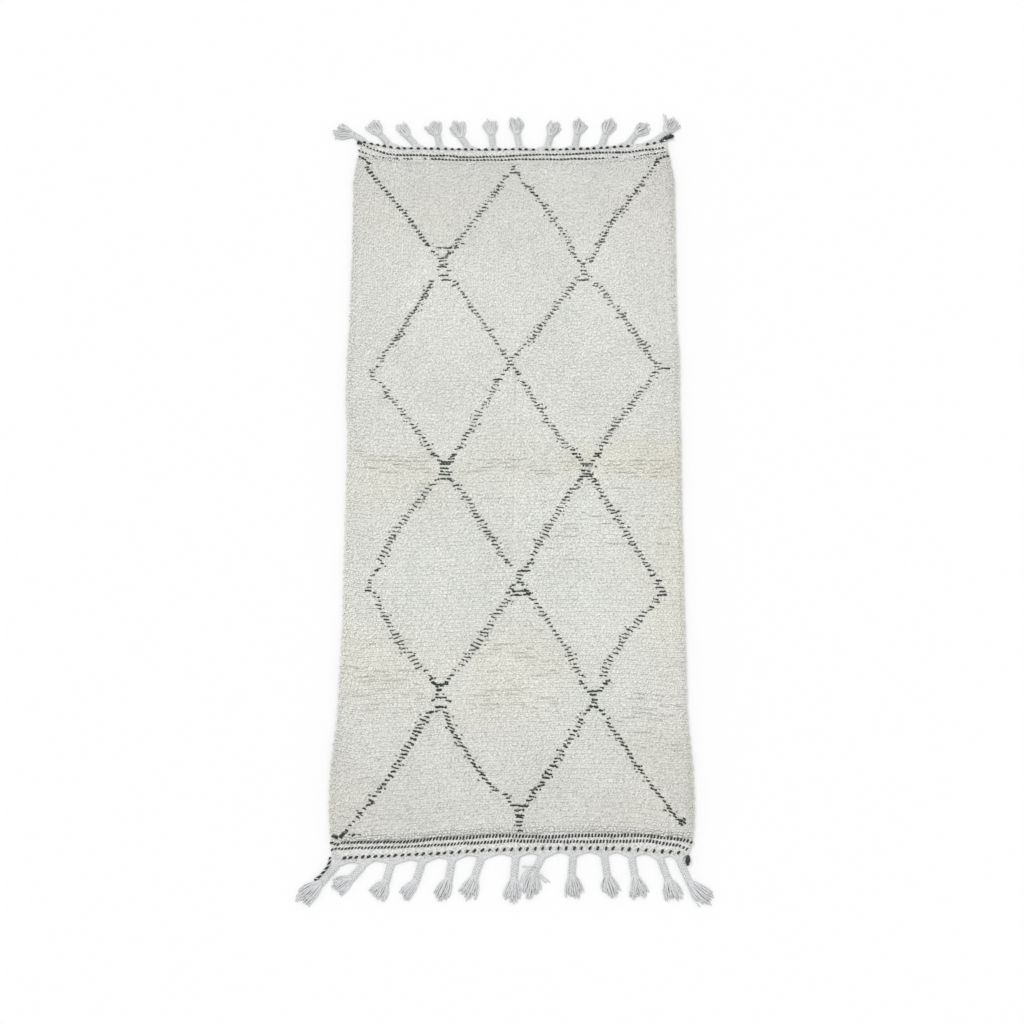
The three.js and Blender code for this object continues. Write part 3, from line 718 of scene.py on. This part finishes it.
# Each twined row of charcoal floats with pale ones between: the pitch from one dark float to the next, how
# far the floats gather to the left, their half length, the yarns' sizes, how far the row wanders, and three
# sets of places across: the lean of the floats in degrees, how surely the dark ones show, from 0 to 1, and
# the line that the row follows over the weave
TWINED = (
    {"pitch": 16.0, "gather": 1.12, "half": 4.0, "dark": 2.9, "pale": 2.2, "wave": 1.2,
     "leans": ((-400, 20), (-250, 30), (-60, 45), (120, 70), (400, 60)),
     "shows": ((-400, 0.2), (-386, 0.25), (-376, 1), (400, 1)),
     "line": ((-396, -909), (-379, -911), (-175, -901), (-71, -893), (75, -889), (222, -889), (359, -898),
              (383, -901))},
    {"pitch": 7.3, "gather": 1, "half": 3.7, "dark": 2.15, "pale": 1.5, "wave": 0.9,
     "leans": ((-400, 25), (-180, 35), (-60, 60), (40, 76), (400, 72)),
     "shows": ((-400, 1), (400, 1)),
     "line": ((-400, -893), (-388, -890), (-379, -891), (-340, -889), (-230, -886), (-175, -882),
              (-4, -873), (150, -875), (298, -873), (371, -884), (393, -893))},
    {"pitch": 7.3, "gather": 1, "half": 4.1, "dark": 2.3, "pale": 1.5, "wave": 0.9,
     "leans": ((-400, 25), (-230, 35), (-120, 72), (400, 76)),
     "shows": ((-400, 1), (400, 1)),
     "line": ((-402, -876), (-388, -882), (-378, -878), (-340, -876), (-230, -875), (-176, -869),
              (-4, -861), (70, -864), (150, -861), (298, -861), (389, -872), (403, -878))},
    {"pitch": 17.3, "gather": 1, "half": 4.1, "dark": 3.0, "pale": 2.0, "wave": 1.6,
     "leans": ((-400, -8), (400, 6)),
     "shows": ((-400, 0.3), (-372, 0.4), (-345, 1), (-130, 1), (-110, 0.93), (110, 0.93), (140, 1),
               (290, 1), (300, 0.4), (340, 0.4), (350, 1)),
     "line": ((-383, 914), (-364, 909), (-297, 896), (-202, 893), (-31, 891), (123, 892), (243, 897),
              (330, 903), (372, 911), (396, 919))},
    {"pitch": 8.4, "gather": 1, "half": 4.3, "dark": 2.4, "pale": 1.7, "wave": 2.0,
     "leans": ((-400, -9), (400, -4)),
     "shows": ((-400, 1), (400, 1)),
     "line": ((-389, 909), (-360, 892), (-320, 879), (-290, 875), (-202, 873), (-100, 870), (-5, 873),
              (60, 876), (192, 879), (300, 884), (392, 897))},
    {"pitch": 8.8, "gather": 1, "half": 4.1, "dark": 2.25, "pale": 1.5, "wave": 1.7,
     "leans": ((-400, -9), (400, -4)),
     "shows": ((-400, 1), (-305, 1), (-290, 0.4), (-215, 0.4), (-195, 1), (230, 1), (245, 0.3), (295, 0.3),
               (312, 1), (400, 1)),
     "line": ((-393, 889), (-360, 873), (-319, 864), (-202, 863), (-100, 860), (-5, 862), (192, 864),
              (309, 870), (399, 884))},
)
# Short extra rows of charcoal floats at the corners
CORNER_ROWS = (
    {"start": (-392, 868), "stop": (-370, 855), "count": 3},
    {"start": (366, 857), "stop": (401, 870), "count": 4},
)
CORNER_FLOAT_HALF = 3.8
CORNER_FLOAT_YARN = 2.1
CORNER_FLOAT_LEAN = -12
CORNER_FLOAT_SUNK = 1.5

# Bands where the rows part and the ground wefts show between them, dark brown as painted shade in the gaps:
# the middle and the half height of each, where it starts and stops across, and how much of each row parts
PARTING_COLUMNS = ("y", "half", "left", "right", "share")
PARTED_LENGTHS = (12, 64)
PARTED_GAPS = (1, 14)
PARTED_SHARE = 1.25
PARTED_YARN = 0.32
PARTINGS = (
    (11, 24, 190, 395, 0.9),
    (20, 20, -140, 190, 0.6),
    (24, 30, -395, -170, 0.5),
    (-20, 60, -390, 390, 0.08),
    (-500, 110, -110, 110, 0.34),
    (-500, 90, -390, -190, 0.3),
    (-560, 60, 220, 395, 0.24),
    (-650, 20, 240, 390, 0.3),
    (-160, 70, 60, 380, 0.14),
)


def beyond_rows(x, y, clear):
    """How far a place in the pile lies from the twined rows at both ends, less a clear distance."""
    near = np.interp(x, *zip(*TWINED[2]["line"]))
    far = np.interp(x, *zip(*TWINED[5]["line"]))
    return np.minimum(y - near - 1.3 * clear, far - y - clear)


def parted_stretches():
    """The stretches of ground weft that show: the row, and where each starts and stops."""
    stretches = []
    for row in range(1, PILE_ROWS, 2):
        for band in named_rows(PARTING_COLUMNS, PARTINGS):
            middle = (band["left"] + band["right"]) / 2
            u = np.array([(middle + HALF_WIDTH) / (2 * HALF_WIDTH)])
            y = float(pile_place(u, row_place(row))[1][0])
            if abs(y - band["y"]) > band["half"]:
                continue
            across = band["left"] + rng.uniform(4, 60)
            while across < band["right"] - 20:
                length = min(rng.uniform(*PARTED_LENGTHS), band["right"] - 4 - across)
                if rng.random() < PARTED_SHARE * band["share"]:
                    stretches.append((row, across, across + length))
                across += length + rng.uniform(*PARTED_GAPS)
    return stretches


# The ground wefts in the partings: their dark brown is painted shade for the gap between the rows
def make_parted_wefts(stretches):
    threads = Threads()
    for row, start, stop in stretches:
        steps = max(5, int((stop - start) / 6))
        t = np.linspace(0, 1, steps)
        x, y = pile_place((mix(start, stop, t) + HALF_WIDTH) / (2 * HALF_WIDTH), row_place(row))
        y = y + 0.8 * np.sin(t * (stop - start) / 9 + row)
        z = pile_top(x, y) - WEFT_DEPTH - 1.6 * np.abs(2 * t - 1) ** 4
        radius = PARTED_YARN * (1 - 0.4 * np.abs(2 * t - 1) ** 3)
        threads.yarns(np.stack([x, y, z], axis=-1)[None], radius[None], 4)
    return threads.piece("parted_wefts", GROUND_WEFT_SHADE_WOOL, "wool_pile", "rug")


# How clear the tufts keep of the twined rows and of the lattice's knots, and how many the fold leaves out
ROWS_CLEAR = 3.2
KNOT_CLEAR_ACROSS = 3.3
KNOT_CLEAR_ALONG = 1.1
KNOT_CLEAR_THICK = 1.15
FOLD_THINNED = 0.75
TUFT_WIDE = 4.1
TUFT_DEEP = 2.7
KNOT_DEEP = 1.95
# How far in from the long sides and the ends the pile is rounded down
SIDE_ROUND = 15
END_ROUND = 10


def make_pile():
    knots = lattice_knots()
    light = [[] for _ in range(PILE_PARTS)]
    columns = np.arange(PILE_COLUMNS)
    for row in range(PILE_ROWS):
        shift = (0.25 if row % 4 < 2 else -0.25) * np.interp(row / PILE_ROWS, (0.6, 0.8), (1, 0.3))
        u = (columns + 0.5 + shift + rng.uniform(-0.3, 0.3, PILE_COLUMNS)) / PILE_COLUMNS
        u = np.clip(u, 0.002, 0.998)
        loose = np.interp(row / PILE_ROWS, (0, 0.3, 0.5, 1), (0.25, 0.2, 0.4, 0.5))
        v = row_place(row + loose * rng.uniform(-1, 1, PILE_COLUMNS))
        x, y = pile_place(u, v)
        keep = beyond_rows(x, y, ROWS_CLEAR) > 0
        keep &= rng.random(PILE_COLUMNS) > FOLD_THINNED * folded(x, y, 2.2)
        close = knots[np.abs(knots[:, 1] - y.mean()) < 40]
        beside = np.abs(x[:, None] - close[None, :, 0]) / KNOT_CLEAR_ACROSS
        clear = KNOT_CLEAR_ALONG + KNOT_CLEAR_THICK * close[None, :, 3]
        before = np.abs(y[:, None] - close[None, :, 1]) / clear
        keep &= ~np.any((beside < 1) & (before < 1), axis=1)
        part = min(PILE_PARTS - 1, row * PILE_PARTS // PILE_ROWS)
        lower = (row % 2) * LOWER_ROW_DROP * np.interp(y, (0, 400, 900), (1.35, 0.6, 0.3))
        lower += (columns % 2) * LOWER_COLUMN_DROP * smooth((y - 200) / 300)
        light[part].append(np.stack([x[keep], y[keep], lower[keep]]))
    pieces = [make_pile_body(), make_parted_wefts(parted_stretches())]
    for part, rows in enumerate(light):
        x, y, lower = np.concatenate(rows, axis=1)
        turn = 0.9 * np.sin(x / 83 + y / 59) + 0.5 * np.sin(y / 31 - x / 47)
        turn += rng.uniform(-0.5, 0.5, len(x))
        turn *= mix(1, 0.55, smooth((100 - y) / 300))
        turn = mix(turn, 0.6 * turn + math.pi / 2, smooth((y - 350) / 240))
        threads = Threads()
        add_tufts(threads, x, y, lower, TUFT_WIDE, TUFT_DEEP, turn)
        pieces.append(threads.piece(f"pile_{part + 1}", PILE_WOOL, "wool_pile", "rug"))
    for name, material, worn in (("pile_lattice", DARK_WOOL, 0), ("pile_lattice_worn", WORN_WOOL, 1)):
        x, y, slope, thick, _ = knots[knots[:, 4] == worn].T
        threads = Threads()
        sunk = rng.uniform(-0.4, 0.6, len(x))
        wide = (2.0 + 0.7 * thick) * rng.uniform(0.85, 1.15, len(x))
        add_tufts(threads, x, y, sunk, wide, KNOT_DEEP * thick, np.arctan(slope))
        pieces.append(threads.piece(name, material, "charcoal_yarn", "rug"))
    return pieces


def make_pile_body():
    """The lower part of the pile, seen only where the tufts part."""
    columns = 60
    rows = 120
    u, v = np.meshgrid(np.linspace(0.003, 0.997, columns), np.linspace(0.001, 0.999, rows))
    x, y = pile_place(u, v)
    top = pile_top(x, y) - BODY_DROP
    top = WEAVE_TOP - 0.3 + (top - WEAVE_TOP + 0.3) * smooth(beyond_rows(x, y, 1) / 7)
    body = closed_slab(np.stack([x, y, top], axis=-1), WEAVE_TOP - 0.5)
    return body.piece("pile_body", BODY_WOOL_SHADED, "wool_pile", "rug")


def folded(x, y, half):
    """How near a place is to the fold line down the middle of the rug, from 0 to 1."""
    return np.exp(-((x - 4 - y / 60) / half) ** 2) * smooth((330 - y) / 60) * smooth((y + 230) / 60)


def pile_top(x, y):
    """The height of the pile: low waves over the field, rounded down at the sides and the ends."""
    drift = np.sin(y / 97)
    long_wave = np.sin(x / 61 + drift) * np.cos(y / 73)
    short_wave = np.sin(y / 31 + x / 140)
    top = PILE_TOP + PILE_LUMP * (0.65 * long_wave + 0.35 * short_wave)
    ends = np.minimum(y - near_line(x, NEAR_FOOT), far_line(x, FAR_FOOT) - y)
    round_side = 1 - np.clip(1 - from_sides(x, y) / SIDE_ROUND, 0, 1) ** 2
    round_end = 1 - np.clip(1 - ends / END_ROUND, 0, 1) ** 2
    top = top - 1.2 * folded(x, y, 4.5)
    return WEAVE_TOP + (top - WEAVE_TOP) * (0.45 + 0.55 * round_side) * (0.5 + 0.5 * round_end)


def add_tufts(threads, x, y, lower, wide, deep, turn):
    count = len(x)
    top = pile_top(x, y) - lower + rng.uniform(-0.75, 0.65, count)
    outward = np.where(x < 0, -1, 1) * np.clip(1 - from_sides(x, y) / SIDE_ROUND, 0, 1)
    shift_x = -outward * 1.3
    size = rng.uniform(0.86, 1.14, count)
    tilt_x = rng.uniform(-0.26, 0.26, count) - 0.3 * outward
    tilt_y = rng.uniform(-0.28, 0.28, count) + 0.1 * np.sin(x / 90 + y / 130)
    threads.tufts(x + shift_x, y, top, wide * size, deep * size, turn, tilt_x, tilt_y)


# The flat-woven ends: weft yarns that pass over and under the warps
WEFT_PITCH = 3.3
WARP_PITCH = 5.2
WEFT_RADIUS = 1.75
WEFT_STEPS = 312
WEFT_INSET = 1.6
WEFT_SUNK = 0.6
WEFT_RISE = 0.95


def make_flat_weave():
    pieces = []
    for end, foot in (("near", NEAR_FOOT), ("far", FAR_FOOT)):
        threads = Threads()
        count = int(foot / WEFT_PITCH)
        for number in range(count + 1):
            inside = WEFT_INSET + number * WEFT_PITCH
            u = np.linspace(0, 1, WEFT_STEPS)
            x = mix(-HALF_WIDTH, HALF_WIDTH, u)
            for _ in range(3):
                y = end_line(end, x, inside)
                x = mix(left_side(y) + WEFT_INSET, right_side(y) - WEFT_INSET, u)
            over = np.cos(math.pi * x / WARP_PITCH + math.pi * (number % 2))
            z = WEAVE_TOP - WEFT_SUNK + WEFT_RISE * over + rng.uniform(-0.2, 0.2, WEFT_STEPS)
            path = np.stack([x, y + rng.uniform(-0.2, 0.2, WEFT_STEPS), z], axis=-1)
            threads.yarns(path[None], WEFT_RADIUS * (1 + 0.06 * over)[None], 4, 0.8)
        pieces.append(threads.piece(f"flat_weave_{end}", WEAVE_WOOL, "wool_pile", "rug"))
    return pieces


def add_floats(threads, x, y, half, lean, radius, base=WEAVE_TOP):
    """Short yarns that come up out of the weave, cross it and go down again."""
    count = len(x)
    t = np.array([-1, -0.72, -0.3, 0.3, 0.72, 1])
    rise = np.array([-2.0, 0.0, 1.0, 1.0, 0.0, -2.0])
    swell = np.array([0.55, 0.85, 1, 1, 0.85, 0.55])
    angle = np.radians(lean + rng.uniform(-9, 9, count))[:, None]
    reach = (half * rng.uniform(0.88, 1.1, count))[:, None] * t
    height = (radius * 0.62)[:, None] * rise + np.reshape(base, (-1, 1)) + 0.3
    across = x[:, None] + reach * np.cos(angle)
    along = y[:, None] + reach * np.sin(angle)
    threads.yarns(np.stack([across, along, height], axis=-1), radius[:, None] * swell, 6)


def make_twined_rows():
    dark = Threads()
    pale = Threads()
    for row in TWINED:
        across, along = zip(*row["line"])
        count = int((across[-1] - across[0]) / row["pitch"])
        wave = row["wave"] * rng.uniform(-1, 1, count + 3)
        for threads, start, size in ((dark, 0.25, row["dark"]), (pale, 0.75, row["pale"])):
            u = ((np.arange(count) + start + rng.uniform(-0.07, 0.07, count)) / count) ** row["gather"]
            x = mix(across[0], across[-1], u)
            waves = count // 4 + 2
            wave_places = np.linspace(-HALF_WIDTH, HALF_WIDTH, waves)
            y = np.interp(x, across, along) + np.interp(x, wave_places, wave[:waves])
            radius = size * rng.uniform(0.85, 1.12, count)
            keep = np.ones(count, bool)
            if threads is dark:
                places, shares = zip(*row["shows"])
                keep = rng.random(count) < np.interp(x, places, shares)
            lean = np.interp(x, *zip(*row["leans"])) + np.degrees(np.arctan(np.gradient(y, x)))
            half = np.full(count, float(row["half"]))
            add_floats(threads, x[keep], y[keep], half[keep], lean[keep], radius[keep])
    for row in CORNER_ROWS:
        start = np.array(row["start"], float)
        stop = np.array(row["stop"], float)
        count = row["count"]
        t = (np.arange(count) + 0.5) / count
        line = start + (stop - start) * t[:, None]
        heading = math.degrees(math.atan2(stop[1] - start[1], stop[0] - start[0]))
        half = np.full(count, CORNER_FLOAT_HALF)
        lean = np.full(count, heading + CORNER_FLOAT_LEAN)
        size = np.full(count, CORNER_FLOAT_YARN)
        base = pile_top(line[:, 0], line[:, 1]) - CORNER_FLOAT_SUNK
        add_floats(dark, line[:, 0], line[:, 1], half, lean, size, base)
    return [
        dark.piece("twined_charcoal", DARK_WOOL, "charcoal_yarn", "rug"),
        pale.piece("twined_pale", PILE_WOOL, "wool_pile", "rug"),
    ]


# Each tassel: where its web has drawn in to the plait, where the plait ends, the middle of the tuft's tips,
# and the tuft's width
TASSEL_COLUMNS = ("neck_x", "neck_y", "head_x", "head_y", "tip_x", "tip_y", "spread")
FAR_TASSELS = (
    (-382, 920, -408, 938, -457, 950, 46),
    (-319, 914, -340, 939, -365, 973, 43),
    (-249, 911, -268, 932, -290, 969, 35),
    (-187, 908, -193, 937, -207, 974, 47),
    (-116, 907, -131, 929, -144, 975, 47),
    (-50, 906, -53, 937, -58, 980, 37),
    (18, 907, 12, 940, 9, 987, 40),
    (91, 907, 98, 934, 112, 976, 38),
    (162, 908, 167, 938, 177, 980, 40),
    (231, 911, 241, 940, 256, 982, 36),
    (302, 917, 318, 939, 350, 967, 38),
    (372, 924, 397, 942, 423, 982, 47),
)
NEAR_TASSELS = (
    (-392, -930, -422, -965, -466, -1006, 43),
    (-332, -929, -355, -955, -392, -979, 40),
    (-269, -927, -278, -961, -300, -996, 44),
    (-201, -924, -212, -960, -239, -996, 33),
    (-134, -919, -140, -956, -160, -1000, 37),
    (-70, -914, -83, -951, -102, -995, 41),
    (8, -912, 3, -955, -5, -1006, 42),
    (64, -911, 47, -944, 39, -995, 44),
    (135, -909, 131, -947, 138, -997, 41),
    (205, -909, 210, -949, 224, -994, 39),
    (265, -911, 271, -950, 281, -997, 46),
    (329, -915, 344, -956, 360, -1003, 43),
    (371.5, -917, 391, -963, 435, -1008, 40),
)
WEB_WARPS = 13
WEB_HEIGHT = 2.6
NECK_HALF_WIDTH = 7.2
PLAIT_STEPS = 26
PLAIT_TURN = 19
PLAIT_SWING = 5.5
PLAIT_HEIGHT = 3.6
PLAIT_YARN = 2.25
TIE_REACH = 7.0
TIE_HEIGHT = 4.3
TIE_YARN = 1.15
TUFT_LOWEST = 1.75
# How much the loose yarns curl: the far tufts are springier than the near ones
CURLS = {"near": 1.1, "far": 1.9}
# The layers of a tuft from the floor up: how many yarns, how far they fan out and reach, their heights at
# the root and the tip, and their radius
TUFT_LAYERS = (
    {"yarns": 15, "spread": 0.96, "reach": 0.95, "root": 1.8, "tip": 1.35, "size": 1.4},
    {"yarns": 14, "spread": 1.0, "reach": 1.0, "root": 4.4, "tip": 3.2, "size": 1.55},
    {"yarns": 9, "spread": 0.72, "reach": 0.9, "root": 6.6, "tip": 5.2, "size": 1.6},
)


# Yarns that have come away from a tassel, as places along each
STRAY_RADIUS = 1.5
STRAY_COLUMNS = ("node", "path")
STRAY_YARNS = (
    ("tassel_near_08", ((58, -934, 5), (44, -933, 7), (30, -938, 8), (20, -949, 6), (17, -964, 3))),
    ("tassel_near_08", ((56, -940, 5), (42, -940, 8), (31, -947, 7), (25, -960, 5), (24, -976, 3))),
    ("tassel_near_08", ((58, -930, 5), (48, -929, 7), (37, -930, 7), (27, -928, 5), (22, -930, 4))),
    ("tassel_near_08", ((50, -941, 8), (62, -946, 7), (73, -955, 4), (83, -963, 2.2))),
    ("tassel_near_08", ((50, -944, 8), (59, -950, 7), (68, -958, 4), (75, -964, 2.2))),
    ("tassel_far_02", ((-338, 934, 5), (-351, 946, 5), (-366, 955, 3), (-378, 961, 2.2))),
    ("tassel_far_12", ((392, 940, 6), (394, 962, 5), (393, 984, 3), (391, 1000, 2.2))),
    ("tassel_far_12", ((394, 940, 6), (397, 962, 5), (397, 984, 3), (397, 996, 2.2))),
)


def add_web(threads, bay_left, bay_right, out, neck, neck_way):
    """The warps of one bay, drawn in from the cloth's edge to the neck."""
    middle = (bay_left + bay_right) / 2 - out * 1.5
    bay_half = np.linalg.norm(bay_right - bay_left) / 2 - 1.6
    steps = 9
    t = np.linspace(0, 1.25, steps)
    s = np.linspace(-1, 1, WEB_WARPS)[:, None]
    along_edge = unit(bay_right - bay_left)
    reach = np.linalg.norm(neck - middle)
    ways = out[None] * (1 - smooth(t))[:, None] + neck_way[None] * smooth(t)[:, None]
    ways /= np.linalg.norm(ways, axis=1, keepdims=True)
    centre = middle[None] + (neck - middle)[None] * np.minimum(t, 1)[:, None]
    centre += neck_way[None] * (np.maximum(t - 1, 0) * reach)[:, None]
    across = np.stack([ways[:, 1], -ways[:, 0]], axis=-1)
    across *= np.sign(across @ along_edge)[:, None]
    narrow = NECK_HALF_WIDTH - 2.6
    half = narrow + (bay_half - narrow) * np.clip(1 - t, 0, 1) ** 2.4
    plan = centre[None] + across[None] * (s * half[None])[:, :, None]
    lift = WEB_HEIGHT + 0.5 * np.cos(np.arange(WEB_WARPS) * math.pi)[:, None] * np.ones(steps)
    lift = lift + np.linspace(0, 0.6, steps)[None]
    radius = 2.5 - 0.5 * smooth(t)
    threads.yarns(lifted(plan, lift), np.broadcast_to(radius, (WEB_WARPS, steps)), 5, 0.85)


def add_plait(threads, neck, head, salt):
    """A flat plait of three strands, each of two yarns."""
    way = unit(head - neck)
    length = np.linalg.norm(head - neck)
    t = np.linspace(-0.08, 1.04, PLAIT_STEPS)
    turns = length / PLAIT_TURN
    paths = []
    for strand in range(3):
        phase = 2 * math.pi * (turns * t + strand / 3) + salt
        for offset in (-1.15, 1.15):
            heading = np.cos(phase)
            aside = PLAIT_SWING * np.sin(phase) + offset * (0.5 + 0.5 * np.abs(np.sin(phase)))
            z = PLAIT_HEIGHT + 1.2 * np.sin(2 * phase) + 0.25 * offset * heading
            plan = beside_line(neck, way, t * length + offset * 0.8 * heading, aside)
            paths.append(lifted(plan, z))
    threads.yarns(np.array(paths), PLAIT_YARN, 5, 0.95)


def add_tie(threads, head, way):
    """Two turns of yarn that hold the plait's end."""
    turn = np.linspace(0, 4 * math.pi, 33)
    plan = beside_line(head, way, -1.6 + turn * 0.26, TIE_REACH * np.cos(turn))
    threads.yarns(lifted(plan, TIE_HEIGHT + 3.1 * np.sin(turn))[None], TIE_YARN, 5)


def add_tuft(threads, head, tip, spread, curl, salt):
    """The loose yarns of the tassel, fanned out and resting on the floor in three layers."""
    own = np.random.default_rng(400 + salt)
    way = unit(tip - head)
    length = np.linalg.norm(tip - head)
    steps = 9
    t = np.linspace(-0.06, 1, steps)
    lock_rate = own.uniform(2.5, 6)
    lock_phase = own.uniform(0, 6)
    paths = []
    radii = []
    for layer in TUFT_LAYERS:
        places = np.linspace(-1, 1, layer["yarns"]) + own.uniform(-0.06, 0.06, layer["yarns"])
        places += 0.1 * np.sin(places * own.uniform(4, 9) + own.uniform(0, 6))
        for s in places:
            fan = s * (0.5 * spread - 1.6) * layer["spread"]
            start = s * 5.4 * layer["spread"]
            reach = length * layer["reach"] * (1 - 0.16 * s * s) * own.uniform(0.8, 1.1)
            reach *= 1 + 0.07 * math.sin(lock_rate * s + lock_phase)
            opened = 1 - (1 - np.clip(t, 0, 1)) ** 1.7
            bend = curl * own.uniform(-2, 2) * np.sin(math.pi * np.clip(t, 0, 1))
            bend += curl * own.uniform(-1.5, 1.5) * t * t
            aside = start + (fan - start) * opened + bend + 0.35 * curl * np.sin(11 * t + own.uniform(0, 6))
            plan = beside_line(head, way, t * reach, aside)
            z = mix(layer["root"], layer["tip"] + own.uniform(0, 0.5), smooth(t)) * (1 - 0.2 * s * s)
            paths.append(lifted(plan, np.maximum(z, TUFT_LOWEST)))
            radii.append(layer["size"] * own.uniform(0.85, 1.12) * (1 - 0.15 * t))
    threads.yarns(np.array(paths), np.array(radii), 5)


def make_tassels():
    pieces = []
    ends = (
        ("near", -1, NEAR_ACROSS, NEAR_ALONG, NEAR_TASSELS),
        ("far", 1, FAR_ACROSS, FAR_ALONG, FAR_TASSELS),
    )
    for end, outward, across, along, rows in ends:
        for number, row in enumerate(named_rows(TASSEL_COLUMNS, rows)):
            bay_left = np.array([across[number], along[number]], float)
            bay_right = np.array([across[number + 1], along[number + 1]], float)
            edge = unit(bay_right - bay_left)
            out = np.array([-edge[1], edge[0]]) * outward
            neck = np.array([row["neck_x"], row["neck_y"]], float)
            head = np.array([row["head_x"], row["head_y"]], float)
            tip = np.array([row["tip_x"], row["tip_y"]], float)
            threads = Threads()
            add_web(threads, bay_left, bay_right, out, neck, unit(head - neck))
            add_plait(threads, neck, head, number)
            add_tie(threads, head, unit(tip - head))
            add_tuft(threads, head, tip, row["spread"], CURLS[end], number + 20 * (outward + 1))
            name = f"tassel_{end}_{number + 1:02d}"
            for stray in named_rows(STRAY_COLUMNS, STRAY_YARNS):
                if stray["node"] == name:
                    threads.yarns(spine(stray["path"], 14)[None], STRAY_RADIUS, 5)
            pieces.append(threads.piece(f"{name}_yarns", WARP_WOOL, "warp_yarn", name))
    return pieces


# The dark yarn ends at the corners
KNOT_COLUMNS = ("node", "lumps", "path")
KNOTS = (
    ("knot_far_left", 1, ((-396.4, 911.2, 3), (-393.2, 913.4, 4.5), (-389.6, 914.1, 3))),
    ("knot_far_right", 2,
     ((389, 922, 4), (393.7, 924.8, 6.5), (401, 927.6, 5), (409, 931, 6.5), (415, 934, 3.5))),
    ("knot_near_right", 1,
     ((391.3, -905.8, 5), (389.6, -911.5, 6.5), (388.6, -919, 6.5), (388.6, -926, 3))),
)
KNOT_TURNS = 4.5
KNOT_YARN = 1.55
PLAIT_PATH = ((-403, -908.5), (-403.5, -918), (-407.5, -928.5), (-414, -937.5), (-420.8, -946.2),
              (-427.8, -953.2), (-436, -958))
CORNER_PLAIT_TURNS = 5
CORNER_PLAIT_YARN = 1.35


def make_corner_yarns():
    pieces = []
    for knot in named_rows(KNOT_COLUMNS, KNOTS):
        threads = Threads()
        steps = 60
        line = spine(knot["path"], steps)
        side = path_side(line[:, :2])
        turn = np.linspace(0, 2 * math.pi * KNOT_TURNS, steps)
        lump = 0.55 + 0.6 * np.sin(np.linspace(0, knot["lumps"] * math.pi, steps)) ** 2
        swell = 0.6 * line[:, 2] * lump
        for start in (0, 1.6, 3.1, 4.7):
            plan = line[:, :2] + side * (swell * np.cos(turn + start))[:, None]
            z = 1.6 + swell * (1 + np.sin(turn + start))
            threads.yarns(lifted(plan, z)[None], KNOT_YARN, 5)
        pieces.append(threads.piece(f"{knot['node']}_yarn", DARK_WOOL, "charcoal_yarn", knot["node"]))
    steps = 70
    line = spine(PLAIT_PATH, steps)
    side = path_side(line)
    turn = np.linspace(0, 2 * math.pi * CORNER_PLAIT_TURNS, steps)
    dark = Threads()
    pale = Threads()
    for threads, start in ((dark, 0), (dark, 2.1), (pale, 4.2)):
        plan = line + side * (1.7 * np.cos(turn + start))[:, None]
        z = 3.0 + 1.3 * np.sin(turn + start)
        threads.yarns(lifted(plan, z)[None], CORNER_PLAIT_YARN, 5)
    pieces.append(dark.piece("plait_near_left_dark", DARK_WOOL, "charcoal_yarn", "plait_near_left"))
    pieces.append(pale.piece("plait_near_left_pale", WARP_WOOL, "warp_yarn", "plait_near_left"))
    return pieces


# The floor, the light and the camera
def make_floor():
    mesh = bpy.data.meshes.new("floor")
    size = 60
    corners = [(-size, -size, 0), (size, -size, 0), (size, size, 0), (-size, size, 0)]
    mesh.from_pydata(corners, [], [(0, 1, 2, 3)])
    floor = link_object("floor", mesh)
    material = bpy.data.materials.new("pale_floor")
    material.use_nodes = True
    shader = material.node_tree.nodes["Principled BSDF"]
    shader.inputs["Base Color"].default_value = (0.89, 0.89, 0.89, 1)
    shader.inputs["Roughness"].default_value = 0.9
    shader.inputs["Specular IOR Level"].default_value = 0.1
    mesh.materials.append(material)
    return floor


def add_daylight(place, softness, strength):
    """A wide soft light that falls evenly over the floor, from the direction of a place."""
    data = bpy.data.lights.new("daylight", "SUN")
    data.angle = math.radians(softness)
    data.energy = strength
    x, y, z = place
    lamp = link_object("daylight", data)
    lamp.rotation_euler = (math.atan2(math.hypot(x, y), z), 0, math.atan2(x, -y))


def set_stage():
    world = bpy.data.worlds.new("studio")
    world.use_nodes = True
    background = world.node_tree.nodes["Background"]
    background.inputs["Color"].default_value = (1, 1, 1, 1)
    background.inputs["Strength"].default_value = 0.93
    bpy.context.scene.world = world
    bpy.context.scene.view_settings.view_transform = "Standard"
    add_daylight((-2.2, 2.2, 4.4), 30, 0.72)
    camera = bpy.data.cameras.new("camera")
    camera.lens = 62.6
    camera.sensor_width = 36
    holder = link_object("camera", camera)
    holder.location = (0, -1.539, 3.971)
    holder.rotation_euler = (math.radians(20), 0, 0)
    bpy.context.scene.camera = holder


set_stage()
floor = make_floor()
ground = make_ground()
on_ground = make_pile() + make_flat_weave() + make_twined_rows() + make_tassels() + make_corner_yarns()
